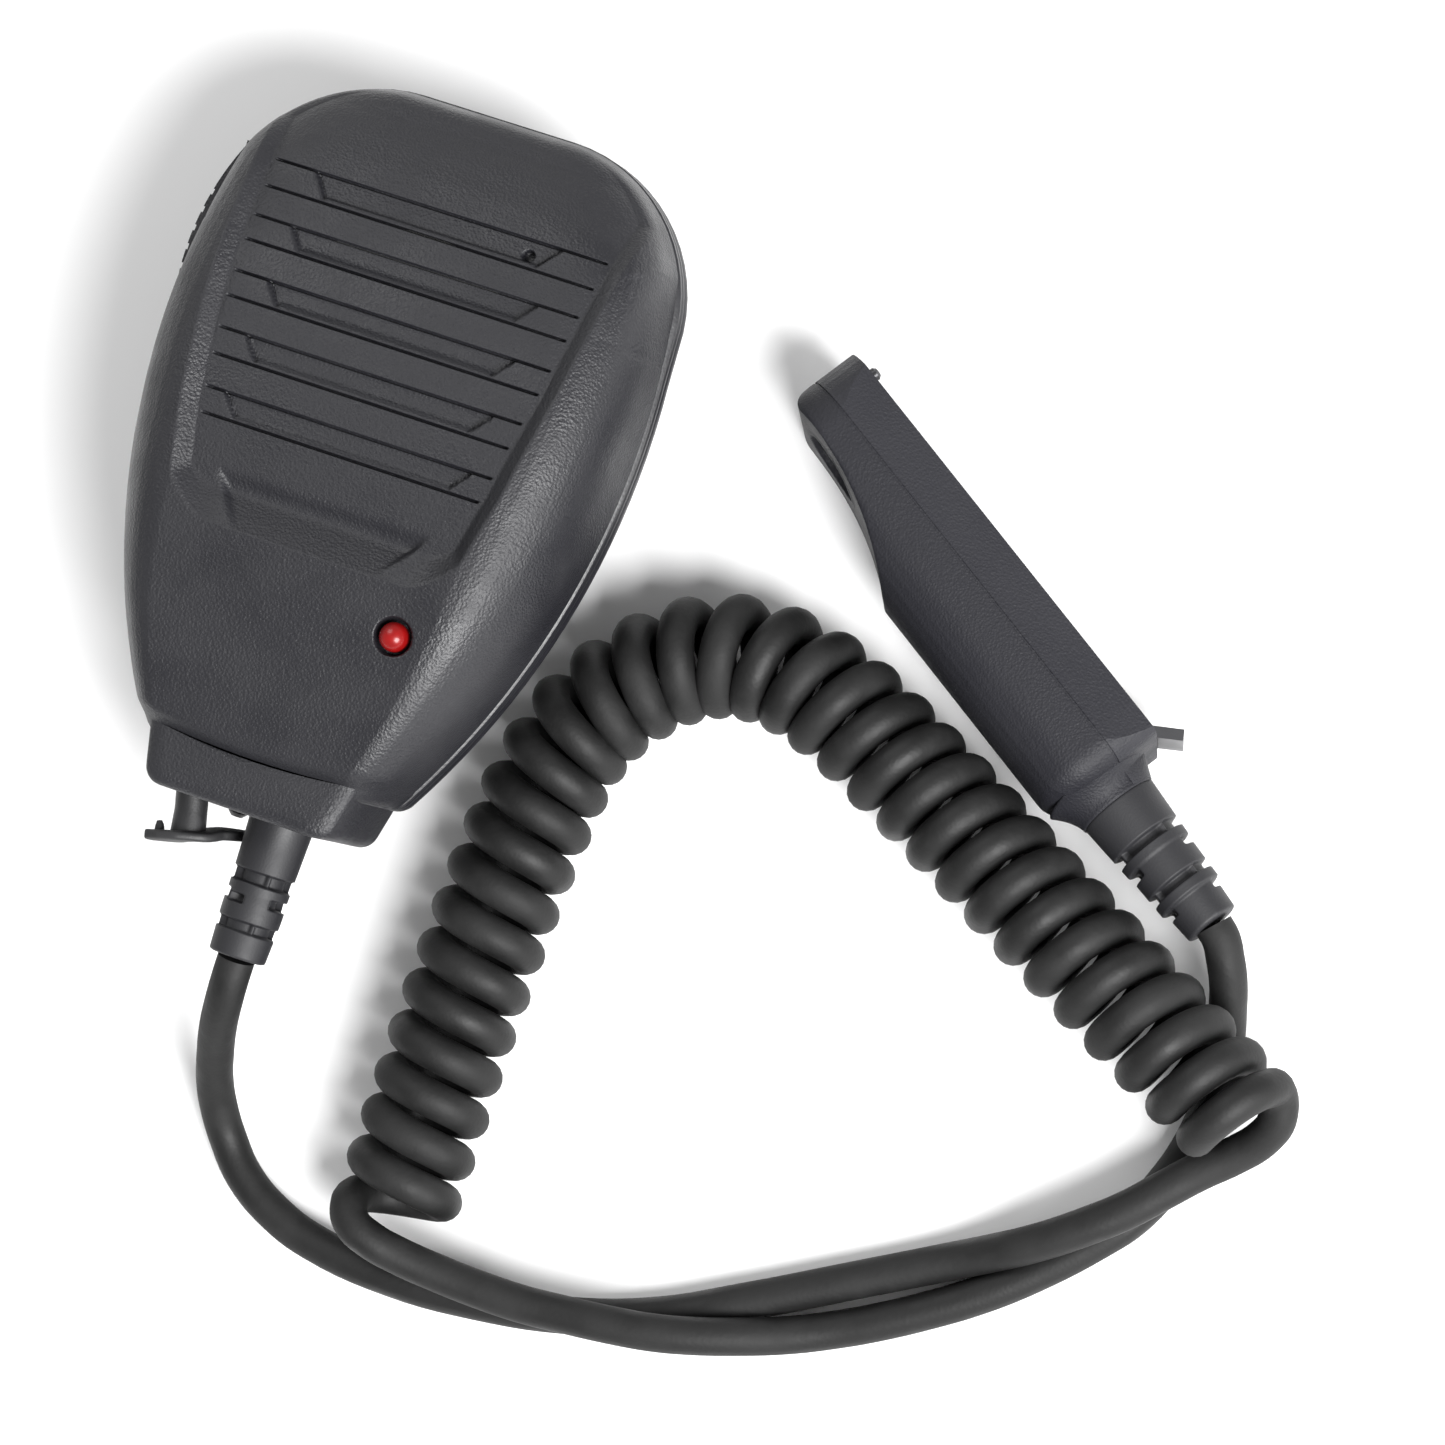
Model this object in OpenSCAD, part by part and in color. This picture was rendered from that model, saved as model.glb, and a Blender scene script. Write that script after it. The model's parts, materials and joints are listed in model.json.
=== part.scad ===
// Speaker-microphone with a curly cord and a screw-on side connector.
// The microphone lies on the outer face of its belt clip, front face up.
// +X is the microphone's right-hand side, +Y its top, +Z out of its front face.

/* [Housing] */
// Height of the housing's back face above the table, which is the clip's depth
back_z = 11.5; // [11:0.5:13]
// Height of the parting line between the rear and front shells
parting_z = 19; // [18.5:0.25:20]
// Height of the front face at its highest point
face_z = 36.1; // [35.5:0.1:38]
// Widest half of the housing at the parting line
half_w = 27.7; // [27:0.1:29]
// Top end of the housing
top_y = 40.5; // [39:0.1:41]
// Wall thickness of both shells
wall = 1.8; // [1.5:0.1:2]

/* [Front face] */
// Depth of each channel across the grille
channel_d = 0.7; // [0.5:0.1:0.9]
// Width of each channel across the grille
channel_w = 3.2; // [2.8:0.1:3.6]
// Distance from one channel to the next
channel_pitch = 6.6; // [6.2:0.1:7]
// Diameter of the indicator lamp's lens
led_d = 3.3; // [3:0.1:3.8]

/* [Belt clip] */
// Height of the clip's pivot on the back of the housing
pivot_y = 12; // [10:0.5:14]
// Width of the clip's arm
clip_w = 20; // [18:0.5:21]
// Thickness of the clip's arm
clip_t = 2.6; // [2.2:0.1:2.8]

/* [Cord] */
// Diameter of the cord
cord_d = 4.3; // [4:0.1:4.6]
// Outer diameter of the curly stretch
coil_d = 14.2; // [13.5:0.1:14.6]

/* [Connector] */
// Half of the connector's width at its parting line
plug_half_w = 9.2; // [9:0.1:9.4]
// Thickness of the connector's base, from its parting line to its mating face
plug_base_t = 5.3; // [5.2:0.1:5.6]
// Depth of the connector's cover, from the parting line to its back
plug_cover_t = 9; // [8.8:0.1:9.2]
// Roll of the connector, which lies on the tapered side of its base
plug_roll = 12; // [11:0.5:13]

/* [Hidden] */

$fn = 48;
// A small overlap that joins solids, and the air between separate pieces
eps = 0.02;
gap = 0.15;
// Radial air of a running fit
run_fit = 0.05;

// The frame's origin is under the middle of the microphone's own box
origin_x = 0.36;
origin_y = 3.125;

module place() { translate([origin_x, origin_y, 0]) children(); }

// ---- Housing outline: [point, outward normal] pairs down the right-hand side ----
corner_r = 18;
corner_c = [half_w - corner_r - 0.5, top_y - corner_r];
side_r = 90;
side_c = [half_w - side_r, 11];
side_a = -31;
foot_r = 2.5;
foot_c = side_c + (side_r - foot_r) * [cos(side_a), sin(side_a)];
body_end_y = foot_c[1] - foot_r;

function arc_pairs(c, r, a0, a1, n) =
    [for (i = [0:n]) let (a = a0 + (a1 - a0) * i / n, d = [cos(a), sin(a)]) [c + r * d, d]];

RIGHT = concat(arc_pairs(corner_c, corner_r, 90, 6, 9),
               arc_pairs(side_c, side_r, 4.5, side_a, 11),
               arc_pairs(foot_c, foot_r, side_a - 12, -90, 4));

function mirrored(list) = [for (i = [len(list) - 1:-1:0]) [-list[i][0], list[i][1]]];

// The shoulder is full size above the middle and narrows towards the neck
function taper(y) = min(1, max(0.42, 0.42 + 0.58 * (y - body_end_y) / 34));

// Height of the convex front face at a given y
face_r = 102;
face_apex_y = -6;
function face(y) = face_z - face_r + sqrt(face_r * face_r - (y - face_apex_y) * (y - face_apex_y));

// One right-hand outline moved inwards, as plain points
function inset_side(d) =
    [for (p = RIGHT) p[0] - d * taper(p[0][1]) * [p[1][0], max(p[1][1], 0)]];

function closed(side) = concat(side, mirrored(side));

// ---- Front shell levels: inset, then height as a share of the way up to the face ----
FRONT = [[0, 0], [0.3, 0.3], [0.85, 0.56], [2, 0.74], [3.8, 0.87], [6.2, 0.96], [9.2, 1]];

function front_ring(level, shell) =
    let (side = inset_side(level[0] + shell))
    [for (p = closed(side)) [p[0], p[1], parting_z + level[1] * (face(p[1]) - shell - parting_z)]];

// ---- Rear shell levels: inset and height, from the parting line to the back ----
rear_depth = parting_z - back_z;
REAR = [[0, 0], [-0.15, 0.4], [-0.15, 3.4], [0.5, 5.8], [1.6, 7], [3.2, rear_depth]];

function rear_ring(level, shell) =
    let (z = parting_z - min(level[1], rear_depth - shell))
    [for (p = closed(inset_side(level[0] + shell))) [p[0], p[1], z]];

// Closes a stack of symmetric rings into a solid; both ends are strips from right to left
module loft(rings) {
    n = len(rings[0]);
    half = n / 2;
    last = (len(rings) - 1) * n;
    sides = [for (k = [0:len(rings) - 2], i = [0:n - 1])
                 let (a = k * n + i, b = k * n + (i + 1) % n)
                 each [[a, b, b + n], [a, b + n, a + n]]];
    low = [for (i = [0:half - 2])
               let (r0 = i, r1 = i + 1, l0 = n - 1 - i, l1 = n - 2 - i)
               each [[r0, l0, l1], [r0, l1, r1]]];
    high = [for (i = [0:half - 2])
                let (r0 = last + i, r1 = last + i + 1, l0 = last + n - 1 - i, l1 = last + n - 2 - i)
                each [[r0, l1, l0], [r0, r1, l1]]];
    polyhedron(points = [for (r = rings) each r], faces = concat(sides, low, high));
}

module front_form(shell) { loft([for (level = FRONT) front_ring(level, shell)]); }

// The rear rings run downwards, so they are stacked from the back face up
module rear_form(shell) {
    loft([for (k = [len(REAR) - 1:-1:0]) rear_ring(REAR[k], shell)]);
}

// A slab of the housing outline, grown or shrunk, between two heights
module outline_slab(grow, z0, z1) {
    translate([0, 0, z0])
        linear_extrude(z1 - z0)
            polygon(closed(inset_side(-grow)));
}

// ---- Neck at the cord end ----
neck_top_w = 13;
neck_low_w = 11.8;
neck_y0 = -42.3;
neck_y1 = -34.2;
neck_face_z = 30.7;
neck_back_z = back_z + 0.3;
neck_r = 1.6;

function neck_points(shell) =
    let (w0 = neck_low_w - shell, w1 = neck_top_w - shell, y0 = neck_y0 + shell,
         r = max(neck_r - shell, 0.4), c = [w0 - r, y0 + r],
         side = [for (i = [0:4]) let (a = -90 + 86 * i / 4) c + r * [cos(a), sin(a)]])
    concat([for (p = side) p], [[w1, neck_y1]], [[-w1, neck_y1]],
           [for (i = [4:-1:0]) [-side[i][0], side[i][1]]]);

module neck_form(shell, z0, z1) {
    translate([0, 0, z0])
        linear_extrude(z1 - z0)
            polygon(neck_points(shell));
}

// ---- Pieces along the neck's end wall ----
gland_x = 2.6;
gland_z = 20;
gland_r = 3.65;
gland_hole_r = 3.1;
gland_end_y = -57.5;
jack_x = -7.3;
jack_z = 21;
jack_bore_r = 1.78;
anchor_x = 1.2;
anchor_z = 14.6;
anchor_r = 0.9;

// ---- Grille: a shallow trapezium recess whose floor is a cylinder ----
floor_r = 100;
floor_y = -1;
floor_z = 34.6;
RECESS = [[-21.3, 36], [-20.3, 20], [-19, 8], [-17.8, 0], [-16, -6.2], [-13.6, -7.4],
          [13.6, -7.4], [16, -6.2], [17.8, 0], [19, 8], [20.3, 20], [21.3, 36]];
channel_y0 = 0.3;
channel_half = [17.2, 18.2, 19.1, 19.6, 20.2];
slot_w = 0.9;
slot_half = 12;

module floor_cylinder(r) {
    translate([0, floor_y, floor_z - floor_r])
        rotate([0, 90, 0])
            cylinder(r = r, h = 80, center = true, $fn = 180);
}

module recess_tool() {
    difference() {
        translate([0, 0, 24])
            linear_extrude(16)
                polygon(RECESS);
        floor_cylinder(floor_r);
    }
}

module channel_tool() {
    difference() {
        for (i = [0:4])
            translate([-channel_half[i], channel_y0 + i * channel_pitch - channel_w / 2, 24])
                cube([2 * channel_half[i], channel_w, 16]);
        floor_cylinder(floor_r - channel_d);
    }
}

// Sound slots through the floor along the upper edge of every channel
module slot_tool() {
    for (i = [0:4])
        translate([-slot_half, channel_y0 + i * channel_pitch + channel_w / 2 - slot_w, 20])
            cube([2 * slot_half, slot_w, 20]);
}

// ---- Fastenings inside the housing ----
boss_r = 3;
boss_bore_r = 0.95;
BOSSES = [[16.5, 29.5], [-16.5, 29.5], [15.6, -24], [-15.6, -24]];
screw_head_r = 2.1;
board_z = 16.6;
board_t = 1.6;
POSTS = [[9, -14], [-9, -14]];
post_r = 2.2;

// ---- Push-to-talk key in the left-hand wall ----
key_y0 = 9.4;
key_y1 = 31;
key_z0 = 14.6;
key_z1 = 23.4;
key_out = 2.1;
key_crown = [2.25, 15.9];
key_crown_r = 30.8;
key_barrel_r = 1.7;
key_in = 1.1;
key_gap = 0.35;
key_swing = 0.65;
key_pin = [-21.9, 28.3];
key_pin_r = 0.75;
key_pin_z0 = back_z + 1.1;
key_pin_z1 = 25.2;
plunger_y = 15;
plunger_z = 20;
plunger_r = 1.2;
plunger_x0 = -25;
plunger_len = 2.9;
switch_x0 = -22.9;

module key_window() {
    translate([-34, key_y0 - key_swing, key_z0 - key_gap])
        cube([11, key_y1 - key_y0 + key_swing + key_gap, key_z1 - key_z0 + 2 * key_gap]);
    at_key_pin(key_z0 - key_gap)
        cylinder(r = key_barrel_r + key_gap, h = key_z1 - key_z0 + 2 * key_gap);
}

module key_pin_bore() {
    at_key_pin(key_pin_z0 - 0.1)
        cylinder(r = key_pin_r, h = key_pin_z1 - key_pin_z0 + 0.2);
}

module at_key_pin(z) {
    translate([key_pin[0], key_pin[1], z])
        children();
}

// ---- Sub-parts of the housing ----
speaker_c = [0, 11];
speaker_r = 16;
basket_z0 = 21.6;
basket_z1 = 26.8;
gasket_z = basket_z1 + 0.1;
gasket_t = 0.9;
plate_t = 2;

module front_cover() {
    color([0.16, 0.16, 0.18]) place() {
        difference() {
            union() {
                front_form(0);
                neck_form(0, neck_back_z, neck_face_z);
            }
            difference() {
                translate([0, 0, -eps])
                    front_form(wall);
                grille_plate();
            }
            neck_form(wall, neck_back_z + 1.4, neck_face_z - wall);
            translate([-20, body_end_y + 0.05, 0])
                cube([40, 12, parting_z]);
            recess_tool();
            channel_tool();
            slot_tool();
            key_window();
            key_pin_bore();
            translate([led_c[0], led_c[1], 28])
                cylinder(d = led_d + 0.3, h = 10);
            translate([led_c[0], led_c[1], 34.7])
                cylinder(d = led_d + 0.9, h = 3);
            translate([gland_x, neck_y0 - 1, gland_z])
                rotate([-90, 0, 0])
                    cylinder(r = gland_hole_r, h = 5);
            translate([jack_x, neck_y0 - 1, jack_z])
                rotate([-90, 0, 0])
                    cylinder(r = jack_bore_r + 0.6, h = 5);
            translate([anchor_x, neck_y0 - 1, anchor_z])
                rotate([-90, 0, 0])
                    cylinder(r = anchor_r, h = 5);
            translate([mic_c[0], mic_c[1], 26])
                cylinder(r = 0.6, h = 12);
        }
        speaker_seat();
        intersection() {
            front_form(wall - 0.4);
            difference() {
                for (b = BOSSES)
                    translate([b[0], b[1], parting_z])
                        cylinder(r = boss_r, h = 20);
                for (b = BOSSES)
                    translate([b[0], b[1], parting_z - 1])
                        cylinder(r = boss_bore_r, h = 8);
            }
        }
        difference() {
            intersection() {
                front_form(wall - 0.4);
                at_key_pin(key_z1 + key_gap)
                    cylinder(r = 2.4, h = 6);
            }
            key_pin_bore();
        }
    }
}

// The front wall follows the recess, so it stays as thick behind the grille
module grille_plate() {
    difference() {
        translate([-23, -12, 24])
            cube([46, 47, 14]);
        floor_cylinder(floor_r - plate_t);
    }
}

// A ring moulded inside the front shell that the loudspeaker seals against
module speaker_seat() {
    difference() {
        intersection() {
            front_form(wall - 0.4);
            translate([speaker_c[0], speaker_c[1], gasket_z + gasket_t + 0.02])
                cylinder(r = speaker_r, h = 12);
        }
        translate([speaker_c[0], speaker_c[1], 20])
            cylinder(r = speaker_r - 1.5, h = 20);
        difference() {
            translate([-30, -30, 20])
                cube([60, 70, 30]);
            floor_cylinder(floor_r - plate_t + 0.1);
        }
    }
}

module rear_cover() {
    color([0.14, 0.14, 0.16]) place() {
        difference() {
            union() {
                difference() {
                    rear_form(0);
                    translate([0, 0, eps])
                        rear_form(wall);
                }
                intersection() {
                    rear_form(wall - 0.4);
                    union() {
                        for (b = BOSSES)
                            translate([b[0], b[1], back_z])
                                cylinder(r = boss_r, h = rear_depth - gap);
                        for (p = POSTS)
                            translate([p[0], p[1], back_z])
                                cylinder(r = post_r, h = board_z - back_z);
                        translate([0, pivot_y, back_z])
                            cylinder(r = 4.5, h = 4.6);
                        at_key_pin(back_z)
                            cylinder(r = 2.4, h = key_z0 - key_gap - back_z);
                    }
                }
            }
            key_window();
            for (b = BOSSES) {
                translate([b[0], b[1], back_z - 1])
                    cylinder(r = 1.3, h = 12);
                translate([b[0], b[1], back_z - 1])
                    cylinder(r = screw_head_r + 0.1, h = 2.6);
            }
            for (p = POSTS)
                translate([p[0], p[1], back_z + 1.6])
                    cylinder(r = 0.8, h = 6);
            translate([0, pivot_y, back_z - 1])
                cylinder(r = 1.9, h = 5.2);
            key_pin_bore();
        }
    }
}

module cover_screws() {
    color([0.12, 0.12, 0.12]) place()
        for (b = BOSSES)
            translate([b[0], b[1], back_z + 0.25])
                difference() {
                    union() {
                        cylinder(r = screw_head_r, h = 1.35);
                        cylinder(r = boss_bore_r - 0.02, h = 13);
                    }
                    translate([-1.3, -0.25, -1])
                        cube([2.6, 0.5, 1.6]);
                    translate([-0.25, -1.3, -1])
                        cube([0.5, 2.6, 1.6]);
                }
}

module grille_cloth() {
    color([0.1, 0.1, 0.1]) place()
        intersection() {
            difference() {
                floor_cylinder(floor_r - plate_t - 0.1);
                floor_cylinder(floor_r - plate_t - 0.4);
            }
            translate([speaker_c[0], speaker_c[1], 24])
                cylinder(r = speaker_r - 1.7, h = 14);
        }
}

// The seal ring between the loudspeaker and the front shell
module speaker_gasket() {
    color([0.08, 0.08, 0.08]) place()
        translate([speaker_c[0], speaker_c[1], gasket_z])
            difference() {
                cylinder(r = speaker_r, h = gasket_t);
                translate([0, 0, -1])
                    cylinder(r = speaker_r - 1.6, h = 3);
            }
}

module speaker_basket() {
    color([0.5, 0.5, 0.52]) place()
        translate([speaker_c[0], speaker_c[1], 0])
            difference() {
                union() {
                    translate([0, 0, basket_z1 - 1])
                        cylinder(r = speaker_r, h = 1);
                    translate([0, 0, basket_z0])
                        cylinder(r1 = 8.6, r2 = 14.4, h = basket_z1 - basket_z0 - 0.5);
                }
                translate([0, 0, basket_z0 + 0.8])
                    cylinder(r1 = 7.8, r2 = 14.6, h = basket_z1 - basket_z0 - 0.7);
                translate([0, 0, basket_z0 - 1])
                    cylinder(r = 4, h = 3);
            }
}

module speaker_cone() {
    color([0.2, 0.2, 0.22]) place()
        translate([speaker_c[0], speaker_c[1], basket_z1])
            rotate_extrude()
                polygon([[0, -1.5], [4.5, -1.5], [5, -2.4], [12.4, -0.5], [14, -0.3], [14, 0],
                         [12.4, -0.2], [5.2, -2], [4.7, -1.1], [0, -1.1]]);
}

module speaker_magnet() {
    color([0.6, 0.6, 0.62]) place()
        translate([speaker_c[0], speaker_c[1], basket_z0 - gap - 2.4])
            union() {
                cylinder(r = 7, h = 2.4);
                cylinder(r = 3.4, h = 4.4);
            }
}

// The microphone capsule sits in a rubber boot behind its pinhole
mic_c = [11.4, 26.4];
mic_r = 2;
mic_z = 24.2;

module mic_boot() {
    color([0.07, 0.07, 0.07]) place()
        translate([mic_c[0], mic_c[1], mic_z])
            difference() {
                cylinder(r = 2.7, h = 3.2);
                translate([0, 0, -1])
                    cylinder(r = mic_r, h = 3.4);
                cylinder(r = 0.6, h = 8);
            }
}

module mic_capsule() {
    color([0.7, 0.7, 0.72]) place()
        translate([mic_c[0], mic_c[1], mic_z - 0.1])
            cylinder(r = mic_r - 0.02, h = 2.4);
}

module circuit_board() {
    color([0.08, 0.3, 0.16]) place()
        translate([0, 0, board_z])
            difference() {
                linear_extrude(board_t)
                    polygon([[-11.8, -31], [11.8, -31], [11.8, -20.5], [12.8, -20.5], [12.8, 29],
                             [-12.8, 29], [-12.8, 21], [-22.5, 21], [-22.5, 9.5], [-12.8, 9.5],
                             [-12.8, -20.5], [-11.8, -20.5]]);
                for (p = POSTS)
                    translate([p[0], p[1], -1])
                        cylinder(r = 1.1, h = 4);
            }
}

module board_screws() {
    color([0.6, 0.6, 0.6]) place()
        for (p = POSTS)
            translate([p[0], p[1], 0])
                union() {
                    translate([0, 0, board_z + board_t])
                        cylinder(r = 1.8, h = 1);
                    translate([0, 0, back_z + 2])
                        cylinder(r = 0.78, h = board_z + board_t - back_z - 1.5);
                }
}

// Grooves across the key, spread by an angle round its crown
rib_angle = 8;
rib_pitch = 4.2;
rib_gap = 0.7;
rib_depth = 0.2;

module ptt_key() {
    color([0.13, 0.13, 0.14]) place()
        difference() {
            union() {
                intersection() {
                    difference() {
                        outline_slab(key_out, key_z0, key_z1);
                        outline_slab(-key_in, key_z0 - 1, key_z1 + 1);
                    }
                    translate([key_crown[0], key_crown[1], key_z0])
                        cylinder(r = key_crown_r, h = key_z1 - key_z0, $fn = 360);
                    translate([-34, key_y0, key_z0])
                        cube([12, key_y1 - key_y0, key_z1 - key_z0]);
                }
                at_key_pin(key_z0)
                    cylinder(r = key_barrel_r, h = key_z1 - key_z0);
                translate([-25.7, key_pin[1] - 1.2, key_z0])
                    cube([3.8, 2.4, key_z1 - key_z0]);
                translate([-27.2, plunger_y - 1.5, plunger_z - 1.6])
                    cube([2.05, 3, 3.2]);
            }
            at_key_pin(key_z0 - 1)
                cylinder(r = key_pin_r + run_fit, h = 12);
            for (i = [0:5])
                translate([key_crown[0], key_crown[1], key_z0 - 1])
                    rotate([0, 0, rib_angle - rib_pitch * i])
                        translate([-key_crown_r - 2, -rib_gap / 2, 0])
                            cube([2 + rib_depth, rib_gap, 12]);
        }
}

module ptt_pivot_pin() {
    color([0.75, 0.75, 0.75]) place()
        at_key_pin(key_pin_z0)
            cylinder(r = key_pin_r, h = key_pin_z1 - key_pin_z0);
}

// A splash seal on the face of the switch
module ptt_membrane() {
    color([0.06, 0.06, 0.06]) place()
        difference() {
            translate([switch_x0 - 0.5, plunger_y - 5, plunger_z - 4.6])
                cube([0.45, 10, 8]);
            translate([switch_x0 - 2, plunger_y, plunger_z])
                rotate([0, 90, 0])
                    cylinder(r = plunger_r + 0.25, h = 4);
        }
}

module ptt_switch() {
    color([0.3, 0.3, 0.3]) place()
        difference() {
            translate([switch_x0, plunger_y - 3, board_z + board_t])
                cube([4.4, 6, 3.9]);
            translate([switch_x0 - 1, plunger_y, plunger_z])
                rotate([0, 90, 0])
                    cylinder(r = plunger_r + run_fit, h = 3.2);
        }
}

module ptt_plunger() {
    color([0.85, 0.85, 0.82]) place()
        translate([plunger_x0, plunger_y, plunger_z])
            rotate([0, 90, 0])
                cylinder(r = plunger_r, h = plunger_len);
}

led_c = [12.6, -18];

module led_lens() {
    color([0.75, 0.08, 0.06]) place()
        translate([led_c[0], led_c[1], 0]) {
            translate([0, 0, 31.2])
                cylinder(d = led_d, h = 3.5);
            translate([0, 0, 34.7 - eps])
                intersection() {
                    sphere(d = led_d, $fn = 48);
                    cylinder(d = led_d + 1, h = 3);
                }
            translate([0, 0, 30.4])
                cylinder(d = led_d + 0.7, h = 0.8);
        }
}

module led_leads() {
    color([0.75, 0.75, 0.75]) place()
        for (s = [-1, 1])
            translate([led_c[0] + s * 1.27 - 1.4, led_c[1], board_z + board_t])
                union() {
                    cylinder(r = 0.25, h = 10.4);
                    translate([0, -0.25, 10.1])
                        cube([1.6, 0.5, 0.5]);
                    translate([1.4, 0, 10.1])
                        cylinder(r = 0.25, h = 30.4 - board_z - board_t - 10.1);
                }
}

module earphone_jack() {
    color([0.1, 0.1, 0.1]) place()
        difference() {
            union() {
                translate([jack_x - 2.6, neck_y0 + wall + 0.1, jack_z - 2.65])
                    cube([5.9, 11.5, 5.85]);
                translate([jack_x, neck_y0 + 0.3, jack_z])
                    rotate([-90, 0, 0])
                        cylinder(r = jack_bore_r + 0.58, h = 2);
            }
            translate([jack_x, neck_y0 - 1, jack_z])
                rotate([-90, 0, 0])
                    cylinder(r = jack_bore_r, h = 12);
        }
}

// A rubber plug on a strap whose other end is anchored below the gland
cap_y = -45.6;
cap_side = 1.3;
strap_t = 1.1;
strap_bend = [-3.3, cap_y + 0.4, 17.4];

module strap_end(p, w) {
    translate(p)
        rotate([90, 0, 0])
            cylinder(r = w / 2, h = strap_t, center = true, $fn = 24);
}

module jack_cap() {
    color([0.1, 0.1, 0.11]) place() {
        translate([jack_x, cap_y, jack_z])
            rotate([-90, 0, 0])
                cylinder(r = jack_bore_r - 0.02, h = 9);
        translate([jack_x - cap_side, cap_y - 1.3, jack_z])
            rotate([-90, 0, 0])
                cylinder(r = 3.3, h = 1.4);
        hull() {
            strap_end([jack_x, cap_y - 0.4, jack_z], 4);
            strap_end(strap_bend, 3);
        }
        hull() {
            strap_end(strap_bend, 3);
            strap_end([anchor_x, neck_y0 - 0.65, anchor_z], 2.6);
        }
        translate([anchor_x, neck_y0 - 0.7, anchor_z])
            rotate([-90, 0, 0])
                cylinder(r = anchor_r - 0.02, h = 2.4);
    }
}

// A moulded relief: ringed sleeve outside, a neck through the wall and a flange inside
module relief_profile(r0, r1, len, bore) {
    rotate_extrude()
        polygon([[bore, 0], [r0, 0], [r0 - 0.1, 0.28 * len], [r0 - 0.55, 0.3 * len],
                 [r0 - 0.55, 0.38 * len], [r0 - 0.15, 0.4 * len], [r0 - 0.2, 0.5 * len],
                 [r0 - 1, 0.52 * len], [r0 - 1, 0.58 * len], [r1 + 0.25, 0.6 * len],
                 [r1 + 0.2, 0.7 * len], [r1 - 0.3, 0.72 * len], [r1 - 0.3, 0.79 * len],
                 [r1 + 0.1, 0.81 * len], [r1, 0.97 * len], [r1 - 0.4, len], [bore, len]]);
}

module strain_relief_mic() {
    color([0.11, 0.11, 0.12]) place()
        translate([gland_x, neck_y0 - 0.1, gland_z])
            rotate([90, 0, 0])
                union() {
                    relief_profile(gland_r, 3.2, neck_y0 - 0.1 - gland_end_y, 0);
                    translate([0, 0, -2.1])
                        cylinder(r = gland_hole_r - 0.02, h = 2.2);
                    translate([0, 0, -3.6])
                        cylinder(r = 4.4, h = 1.6);
                }
}

module cable_clamp_mic() {
    color([0.55, 0.55, 0.57]) place()
        translate([gland_x, -37.2, gland_z])
            rotate([90, 0, 0])
                difference() {
                    translate([-3.4, -3.4, 0])
                        cube([6.8, 6.8, 1.4]);
                    translate([0, 0, -1])
                        cylinder(r = 2.1, h = 4);
                }
}

// ---- Belt clip: a plate that turns on the back, and a sprung arm hinged to it ----
plate_r = 11;
plate_z0 = 9.3;
plate_z1 = back_z - 0.3;
hinge_y = pivot_y + 10;
hinge_z = 5.6;
clip_pin_r = 1.25;
shank_r = 2.5;
arm_top_y = pivot_y + 20;
arm_tip_y = pivot_y - 31.5;

module clip_plate() {
    color([0.13, 0.13, 0.14]) place()
        difference() {
            union() {
                translate([0, pivot_y, plate_z0])
                    cylinder(r = plate_r, h = plate_z1 - plate_z0);
                for (s = [-1, 1])
                    translate([s * 8.5 - 0.9, hinge_y, 0]) {
                        translate([0, -2.6, hinge_z])
                            cube([1.8, 5.2, plate_z0 - hinge_z + 0.5]);
                        translate([0, 0, hinge_z])
                            rotate([0, 90, 0])
                                cylinder(r = 2.6, h = 1.8);
                    }
                translate([-9.4, hinge_y - 2.6, plate_z0])
                    cube([18.8, 5.2, plate_z1 - plate_z0]);
            }
            translate([0, pivot_y, plate_z0 - 1])
                cylinder(r = shank_r + run_fit, h = 5);
            translate([-15, hinge_y, hinge_z])
                rotate([0, 90, 0])
                    cylinder(r = clip_pin_r, h = 30);
        }
}

module clip_screw() {
    color([0.5, 0.5, 0.52]) place()
        translate([0, pivot_y, 0])
            difference() {
                union() {
                    translate([0, 0, plate_z0 - 2])
                        cylinder(r = 4.3, h = 1.6);
                    translate([0, 0, plate_z0 - 1])
                        cylinder(r = shank_r, h = back_z - plate_z0 + 1);
                    translate([0, 0, back_z - eps])
                        cylinder(r = 1.88, h = 4);
                }
                translate([-2.2, -0.4, plate_z0 - 3])
                    cube([4.4, 0.8, 1.9]);
                translate([-0.4, -2.2, plate_z0 - 3])
                    cube([0.8, 4.4, 1.9]);
            }
}

module clip_washer() {
    color([0.6, 0.6, 0.62]) place()
        translate([0, pivot_y, plate_z0 - 0.35])
            difference() {
                cylinder(r = 4.6, h = 0.25);
                translate([0, 0, -1])
                    cylinder(r = shank_r + 0.02, h = 3);
            }
}

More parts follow.
